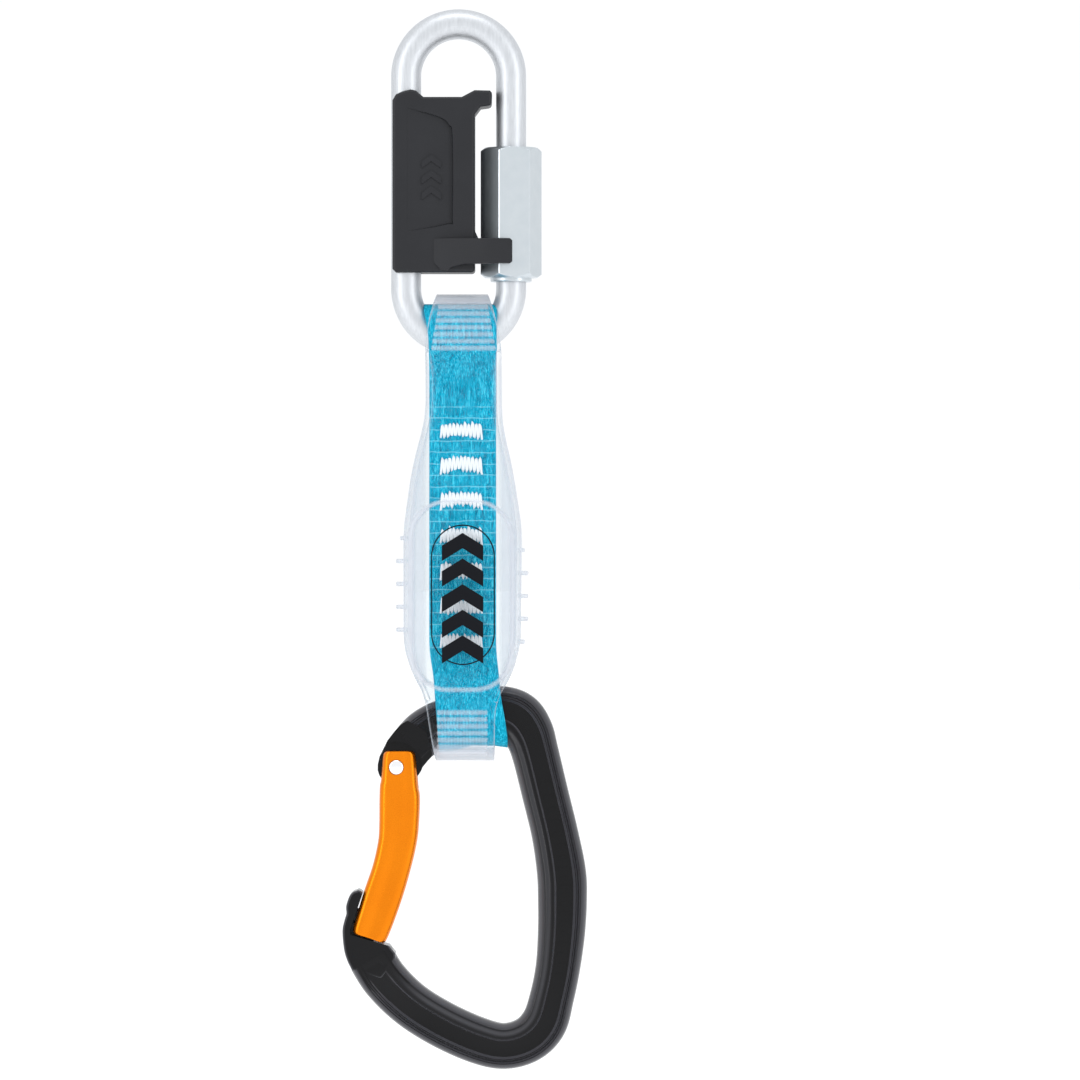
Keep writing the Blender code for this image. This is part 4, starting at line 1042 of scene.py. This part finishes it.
def add_milk_and_boss_glare(piece, left_edge, right_edge):
    """Marks how milky the sleeve is at its ribs, its sides and its two ends, and paints a pale band along the
    edge of its boss in place of backdrop light refracted through its rounded rim.
    """
    mesh = piece.data
    place = np.zeros(len(mesh.vertices) * 3, np.float32)
    mesh.attributes["place"].data.foreach_get("vector", place)
    milk_and_boss_glare = []
    for x, y, z in place.reshape(-1, 3):
        inside = float(inside_boss(np.array([x]), z)[0])
        # Painted refraction: a pale band just inside the boss's rim, where the white backdrop would shine
        # through its rounded edge.
        value = BOSS_EDGE_PAINTED_GLARE * fade(0.0, 0.9, abs(inside - 0.75)) if -0.5 < inside < 2.0 else 0.0
        beside = max(WEB_LEFT[5][0] - MILK_WEB_GAP - x, x - WEB_RIGHT[4][0] - MILK_WEB_GAP, 0.0)
        in_tube = float(within(z, *MILK_TUBE_ZONE))
        value += MILK_TUBE * min(beside, 1.0) * in_tube
        value += MILK_SIDE_RIB if not left_edge(z) - 0.15 < x < right_edge(z) + 0.15 else 0.0
        value += MILK_FOLD * in_tube * fade(0.0, 0.9, abs(beside - MILK_FOLD_PLACE))
        top_share = min(max((TOP_RIB_Z - z) / (TOP_RIB_PITCH * (CUFF_RIB_COUNT - 1)), 0.0), 1.0)
        for first, pitch, left, right in cuff_bands(top_share):
            last = first - pitch * (CUFF_RIB_COUNT - 1)
            if first + 0.9 > z > last - 0.9 and left < x < right and y < 0.0:
                from_rib = abs((z - first + 0.5 * pitch) % pitch - 0.5 * pitch)
                value += MILK_CUFF_RIB * fade(0.15, 0.85, from_rib)
        value += MILK_TOP_END * float(smoothstep(*MILK_TOP_ZONE, z))
        value += MILK_BOTTOM_END * float(smoothstep(*MILK_BOTTOM_ZONE, z))
        milk_and_boss_glare.append(value)
    attribute = mesh.attributes.new("milk_and_boss_glare", "FLOAT", "POINT")
    attribute.data.foreach_set("value", np.array(milk_and_boss_glare, np.float32))


def build_sleeve():
    finish = sleeve_finish()
    edges = (edge(SLEEVE_LEFT), edge(SLEEVE_RIGHT))
    upper = side_rows(crown_side(SLEEVE_CROWN_RADIUS, SLEEVE_CROWN_Z, SLEEVE_UPPER_SIDE), SLEEVE_ROW_STEP)
    lower = side_rows(foot_side(SLEEVE_LOWER_SIDE, SLEEVE_FOOT_RADIUS, SLEEVE_FOOT_Z), SLEEVE_ROW_STEP)
    parts = (
        ("sleeve_upper_half", upper, ("link", "sling"), TOP_BEND, ("sleeve_top_cuff", "sleeve_body")),
        ("sleeve_lower_half", lower, ("sling", "carabiner"), BOTTOM_BEND,
         ("sleeve_bottom_cuff", "sleeve_body")))
    for name, rows, bodies, zone, nodes in parts:
        points, faces = build_shell(
            rows, edges, SLEEVE_WALL, sleeve_corner, lambda z: within(z, *SLEEVE_CLOSED), sleeve_relief,
            nothing, SLEEVE_COLUMNS)
        points = [tuple(p) for p in points]
        if "lower" in name:
            side_ribs(points, faces)
        piece = add_piece(name, points, faces, finish, place=True, sharp=60.0, merge=MERGE_DISTANCE)
        add_milk_and_boss_glare(piece, *edges)
        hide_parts(*nodes)
        bent(piece)


def boss_front(x, z):
    """Where the front of the sleeve's outer face lies on the boss."""
    depth_curve = eased(SLEEVE_LOWER_SIDE, 3.0)[::-1]
    depth = np.interp(z, [p[1] for p in depth_curve], [p[0] for p in depth_curve])
    return -float(depth + boss_relief(np.array([x]), z)[0])


def raised_strip(pairs, front, height, points, faces, closed=False):
    """A thin layer on a face between two lines of (x, z) points; front gives the face's y."""
    rings = []
    for (xa, za), (xb, zb) in pairs:
        ya, yb = front(xa, za), front(xb, zb)
        rings.append([(xa, ya - height, za), (xb, yb - height, zb), (xb, yb + 0.02, zb), (xa, ya + 0.02, za)])
    loft(rings, closed=closed, points=points, faces=faces)


def chevron(x, crest, half_width, rise, thick, steps=12):
    """Two lines of (x, z) points that bound an upright chevron."""
    pairs = []
    for k in range(-steps, steps + 1):
        along = x + half_width * k / steps
        drop = crest - rise * abs(k) / steps
        pairs.append(((along, drop), (along, drop - thick)))
    return pairs


def build_print():
    """A plain printed outline round a stack of chevrons."""
    points, faces = [], []
    top = PRINT_TOP_Z - PRINT_RADIUS
    bottom = PRINT_BOTTOM_Z + PRINT_RADIUS
    sides = 30

    def pill(radius):
        line = []
        for start, end, way, first in ((top, bottom, -1.0, 0.0), (bottom, top, 1.0, 180.0)):
            line += arc((PRINT_CENTRE_X, start), radius, first, first + 180.0, 40)
            line += [(PRINT_CENTRE_X + way * radius, start + (end - start) * k / sides)
                     for k in range(1, sides)]
        return line

    outline = list(zip(pill(PRINT_RADIUS), pill(PRINT_RADIUS - PRINT_LINE)))
    raised_strip(outline, boss_front, INK_HEIGHT, points, faces, closed=True)
    for i in range(MARK_COUNT):
        mark = chevron(PRINT_CENTRE_X - 0.1, MARK_TOP_Z - MARK_PITCH * i, *MARK_SHAPE)
        raised_strip(mark, boss_front, INK_HEIGHT, points, faces)
    finish = grained_finish(**PRINT_FINISH)
    ink = add_piece("sleeve_print_mark", points, faces, finish, place=True, sharp=30.0)
    bent(ink)


# Carabiner

def body_stations(steps):
    points = smooth_path(BODY_PATH, steps)
    stations = []
    for i, point in enumerate(points):
        ahead = points[min(i + 1, len(points) - 1)]
        behind = points[max(i - 1, 0)]
        along = Vector((ahead[0] - behind[0], ahead[1] - behind[1])).normalized()
        stations.append((Vector((point[0], point[1])), Vector((along.y, -along.x)), point[2]))
    return stations


def pivot_point(radius, angle):
    angle = math.radians(angle)
    return (PIVOT_X + radius * math.cos(angle), PIVOT_Z + radius * math.sin(angle))


def cam_outline():
    points = [pivot_point(TONGUE_LEFT_RADIUS, angle) for angle in (190.0, 205.0, 220.0)]
    points += [pivot_point(radius, angle) for angle, radius in ((235.0, 4.7), (248.0, 4.1))]
    steps = 20
    for i in range(steps + 1):
        angle = -90.0 + (CAM_END_ANGLE + 90.0) * i / steps
        points.append(pivot_point(CAM_RADIUS + CAM_RISE * (angle + 90.0) / GATE_TRAVEL, angle))
    return points


def key_shape(gap, root_radius, start, end):
    web = KEY_WEB_HALF + gap
    bulb = KEY_BULB_RADIUS + gap
    lift = math.degrees(math.asin(web / bulb))
    section = arc((KEY_RADIUS, 0.0), bulb, lift, 360.0 - lift, 28)
    section += [(root_radius, -web), (root_radius, web)]
    steps = 12
    rings = []
    for i in range(steps + 1):
        angle = start + (end - start) * i / steps
        rings.append([(pivot_point(r, angle)[0], y, pivot_point(r, angle)[1]) for r, y in section])
    return loft(rings)


def build_body():
    stations = body_stations(BODY_STEPS)
    rings = []
    for i, (centre, inward, width) in enumerate(stations):
        share = i / (len(stations) - 1)
        groove = min(1.0, share / PLAIN_START, (1.0 - share) / PLAIN_END)
        groove = groove * groove * (3.0 - 2.0 * groove)
        half = []
        for fraction, plain, grooved in BODY_SECTION:
            place = centre + inward * width * (0.5 - fraction)
            half.append((place.x, place.y, plain + (grooved - plain) * groove))
        rings.append(both_faces(half))
    body = add_piece("body_forged", *loft(rings), body_finish())
    nose_curve = [tuple(p) for p in smooth_path(NOSE_OUTLINE, 3)]
    nose = tool("nose", front_prism(nose_curve, NOSE_HALF_DEPTH, -NOSE_HALF_DEPTH))
    bevel(nose, NOSE_EDGE)
    mouth = tool("nose_mouth", front_prism(NOSE_MOUTH, CUT_REACH, -CUT_REACH))
    head_outline = [*HINGE_OUTER, *cam_outline(), *HINGE_INNER]
    head = tool("hinge_head", front_prism(head_outline, NOSE_HALF_DEPTH, -NOSE_HALF_DEPTH))
    centre = (PIVOT_X, 0.0, PIVOT_Z)
    cheeks = []
    for name, way in (("front_cheek", -1.0), ("back_cheek", 1.0)):
        profile = ((CHEEK_CUT_RADIUS, way * TONGUE_HALF_DEPTH), (CHEEK_CUT_RADIUS, way * CUT_REACH))
        cheeks.append(tool(name, turned(centre, "y", profile, 96)))
    pin = RIVET_RADIUS + BODY_PIN_GAP
    pin_hole = tool("pin_hole", turned(centre, "y", ((pin, -4.0), (pin, 4.0)), 48))
    key = tool("key", key_shape(0.0, KEY_ROOT_RADIUS, KEY_START_ANGLE, KEY_END_ANGLE))
    combine(body, "UNION", nose, head)
    combine(body, "DIFFERENCE", mouth, *cheeks, pin_hole)
    combine(body, "UNION", key)
    settle(body, (nose, mouth, head, *cheeks, pin_hole, key))
    finish_edges(body, 32.0)
    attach(body, "carabiner")
    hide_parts("carabiner_body")


def build_body_marks():
    """A row of plain dashes in the recess of the spine, in place of lettering."""
    stations = body_stations(BODY_STEPS)
    points, faces = [], []
    for i in range(SPINE_MARKS[0], SPINE_MARKS[1], 3):
        centre, inward, width = stations[i]
        along = Vector((inward.y, -inward.x))
        reach = SPINE_MARK_LONG if i % 4 else SPINE_MARK_SHORT
        corners = []
        for side, way in ((-1.0, -1.0), (1.0, -1.0), (1.0, 1.0), (-1.0, 1.0)):
            fraction = SPINE_MARK_PLACE + side * reach
            place = centre + inward * width * (0.5 - fraction) + along * (way * SPINE_MARK_HALF)
            corners.append((place.x, place.y))
        loft([[(x, y, z) for x, z in corners] for y in SPINE_MARK_DEPTHS], points=points, faces=faces)
    marks = add_piece("body_marks", points, faces, bpy.data.materials["body_black_anodised"], sharp=30.0)
    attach(marks, "carabiner")
    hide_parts("carabiner_body")


def build_rivet():
    tip = RIVET_HALF_LENGTH
    neck = tip - 0.5
    head = [(0.35, tip), (1.1, tip - 0.03), (1.6, tip - 0.1), (1.85, tip - 0.24),
            (RIVET_HEAD_RADIUS, tip - 0.42), (RIVET_HEAD_RADIUS, neck)]
    profile = [(r, -h) for r, h in head] + [(RIVET_RADIUS, -neck), (RIVET_RADIUS, neck)] + head[::-1]
    shape = turned((PIVOT_X, 0.0, PIVOT_Z), "y", profile, 64)
    rivet = add_piece("rivet_headed", *shape, grained_finish(**RIVET_FINISH))
    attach(rivet, "carabiner")
    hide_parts("gate_rivet")


def paired_edges(left, right, steps):
    """Matching even points along two edges whose corners are paired, with the corners rounded."""
    marks = np.linspace(0.0, len(left) - 1, steps * (len(left) - 1) + 1)
    room = np.minimum(1.0, 2.0 * np.minimum(marks, marks[-1] - marks))
    lines = []
    for corners in (np.array(left), np.array(right)):
        points = averaged(corners, np.arange(len(corners)), marks, room, np.linspace(-0.5, 0.5, 9))
        lines.append([Vector(p) for p in points])
    return lines


def build_gate():
    left, right = paired_edges(GATE_LEFT, GATE_RIGHT, 10)
    rings = []
    count = len(left) - 1
    for i, (a, b) in enumerate(zip(left, right)):
        from_end = min(i / 6.0, (count - i) / 9.0, 1.0)
        near_end = 0.72 + 0.28 * math.sqrt(1.0 - (1.0 - from_end) ** 2)
        half = [(*(a + (b - a) * fraction), depth * near_end) for fraction, depth in GATE_SECTION]
        rings.append(both_faces(half))
    gate = add_piece("gate_bent", *loft(rings), grained_finish(**GATE_FINISH))
    floor_z = PIVOT_Z - FORK_FLOOR
    corners = ((FORK_LEFT, floor_z), (FORK_RIGHT, floor_z), (FORK_RIGHT, FORK_TOP_Z), (FORK_LEFT, FORK_TOP_Z))
    fork = tool("fork_gap", front_prism(corners, FORK_HALF_GAP, -FORK_HALF_GAP))
    pivot = (PIVOT_X, 0.0, PIVOT_Z)
    bore_line = ((GATE_BORE_RADIUS, -GATE_BORE_DEPTH), (GATE_BORE_RADIUS, 2.0 - FORK_FLOOR))
    bore = tool("gate_bore", turned(pivot, "z", bore_line, 40))
    head_space = RIVET_HEAD_RADIUS + GATE_HEAD_GAP
    pin_space = RIVET_RADIUS + GATE_PIN_GAP
    neck = RIVET_HALF_LENGTH - GATE_HEAD_DEPTH
    profile = ((head_space, -RIVET_SPACE_REACH), (head_space, -neck), (pin_space, -neck), (pin_space, neck),
               (head_space, neck), (head_space, RIVET_SPACE_REACH))
    rivet_space = tool("rivet_space", turned(pivot, "y", profile, 64))
    pocket_shape = key_shape(KEY_GAP, KEY_ROOT_RADIUS + 2.0, KEY_START_ANGLE - 6.0, KEY_END_ANGLE + 0.6)
    pocket = tool("key_pocket", pocket_shape)
    combine(gate, "DIFFERENCE", fork, bore, rivet_space, pocket)
    settle(gate, (fork, bore, rivet_space, pocket))
    finish_edges(gate, 40.0)
    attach(gate, "gate")
    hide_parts("carabiner_gate")


def dress_hidden_parts(frame):
    for node, settings in (("gate_plunger", PLUNGER_FINISH), ("gate_spring", SPRING_FINISH)):
        mesh_slots = frame["nodes"][node].data.materials
        mesh_slots.clear()
        mesh_slots.append(grained_finish(**settings))


# Stage

def build_stage():
    """A plain pale floor; the world's light is the background beyond it."""
    corners = ((-1, -1), (1, -1), (1, 1), (-1, 1))
    points = [(x * FLOOR_REACH, y * FLOOR_REACH, FLOOR_Z) for x, y in corners]
    finish = Finish("stage_white_paper")
    finish.set(
        base_color=finish.mix(finish.noise(0.02), linear(250, 250, 250), linear(253, 253, 253)), roughness=0.9,
        emission_color=(1.0, 1.0, 1.0), emission_strength=0.12)
    stage = add_piece("stage_floor", points, [(0, 1, 2, 3)], finish.material)


def add_lamp(name, place, size, power):
    light = bpy.data.lights.new(name, "AREA")
    light.shape = "RECTANGLE"
    light.size, light.size_y = size[0] * MM, size[1] * MM
    light.energy = power
    lamp = bpy.data.objects.new(name, light)
    lamp.location = Vector(place) * MM
    lamp.rotation_euler = (Vector(LAMP_TARGET) - Vector(place)).to_track_quat("-Z", "Y").to_euler()
    bpy.context.scene.collection.objects.link(lamp)


def build_lights():
    world = bpy.data.worlds.new("studio")
    bpy.context.scene.world = world
    world.use_nodes = True
    background = world.node_tree.nodes["Background"]
    background.inputs["Color"].default_value = WORLD_COLOUR
    background.inputs["Strength"].default_value = WORLD_STRENGTH
    for lamp in LAMPS:
        add_lamp(*lamp)


def build_camera():
    data = bpy.data.cameras.new("camera")
    data.sensor_width = SENSOR
    data.lens = SENSOR * CAMERA_DISTANCE / VIEW_WIDTH
    camera = bpy.data.objects.new("camera", data)
    camera.location = Vector((VIEW_CENTRE[0], -CAMERA_DISTANCE, VIEW_CENTRE[1])) * MM
    camera.rotation_euler = (0.5 * math.pi, 0.0, 0.0)
    bpy.context.scene.collection.objects.link(camera)
    bpy.context.scene.camera = camera


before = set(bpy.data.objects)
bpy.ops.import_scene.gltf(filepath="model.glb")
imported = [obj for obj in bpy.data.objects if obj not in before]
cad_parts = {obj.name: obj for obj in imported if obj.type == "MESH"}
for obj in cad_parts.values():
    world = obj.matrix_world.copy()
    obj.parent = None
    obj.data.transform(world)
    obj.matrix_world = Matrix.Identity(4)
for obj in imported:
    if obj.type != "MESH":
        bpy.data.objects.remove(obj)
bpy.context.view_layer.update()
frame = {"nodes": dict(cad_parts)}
bpy.context.scene.view_settings.view_transform = "Standard"
build_camera()
build_stage()
build_lights()
build_link()
build_nut()
build_keeper()
build_webbing()
build_bar_tacks()
build_sleeve()
build_print()
build_body()
build_body_marks()
build_rivet()
build_gate()
dress_hidden_parts(frame)
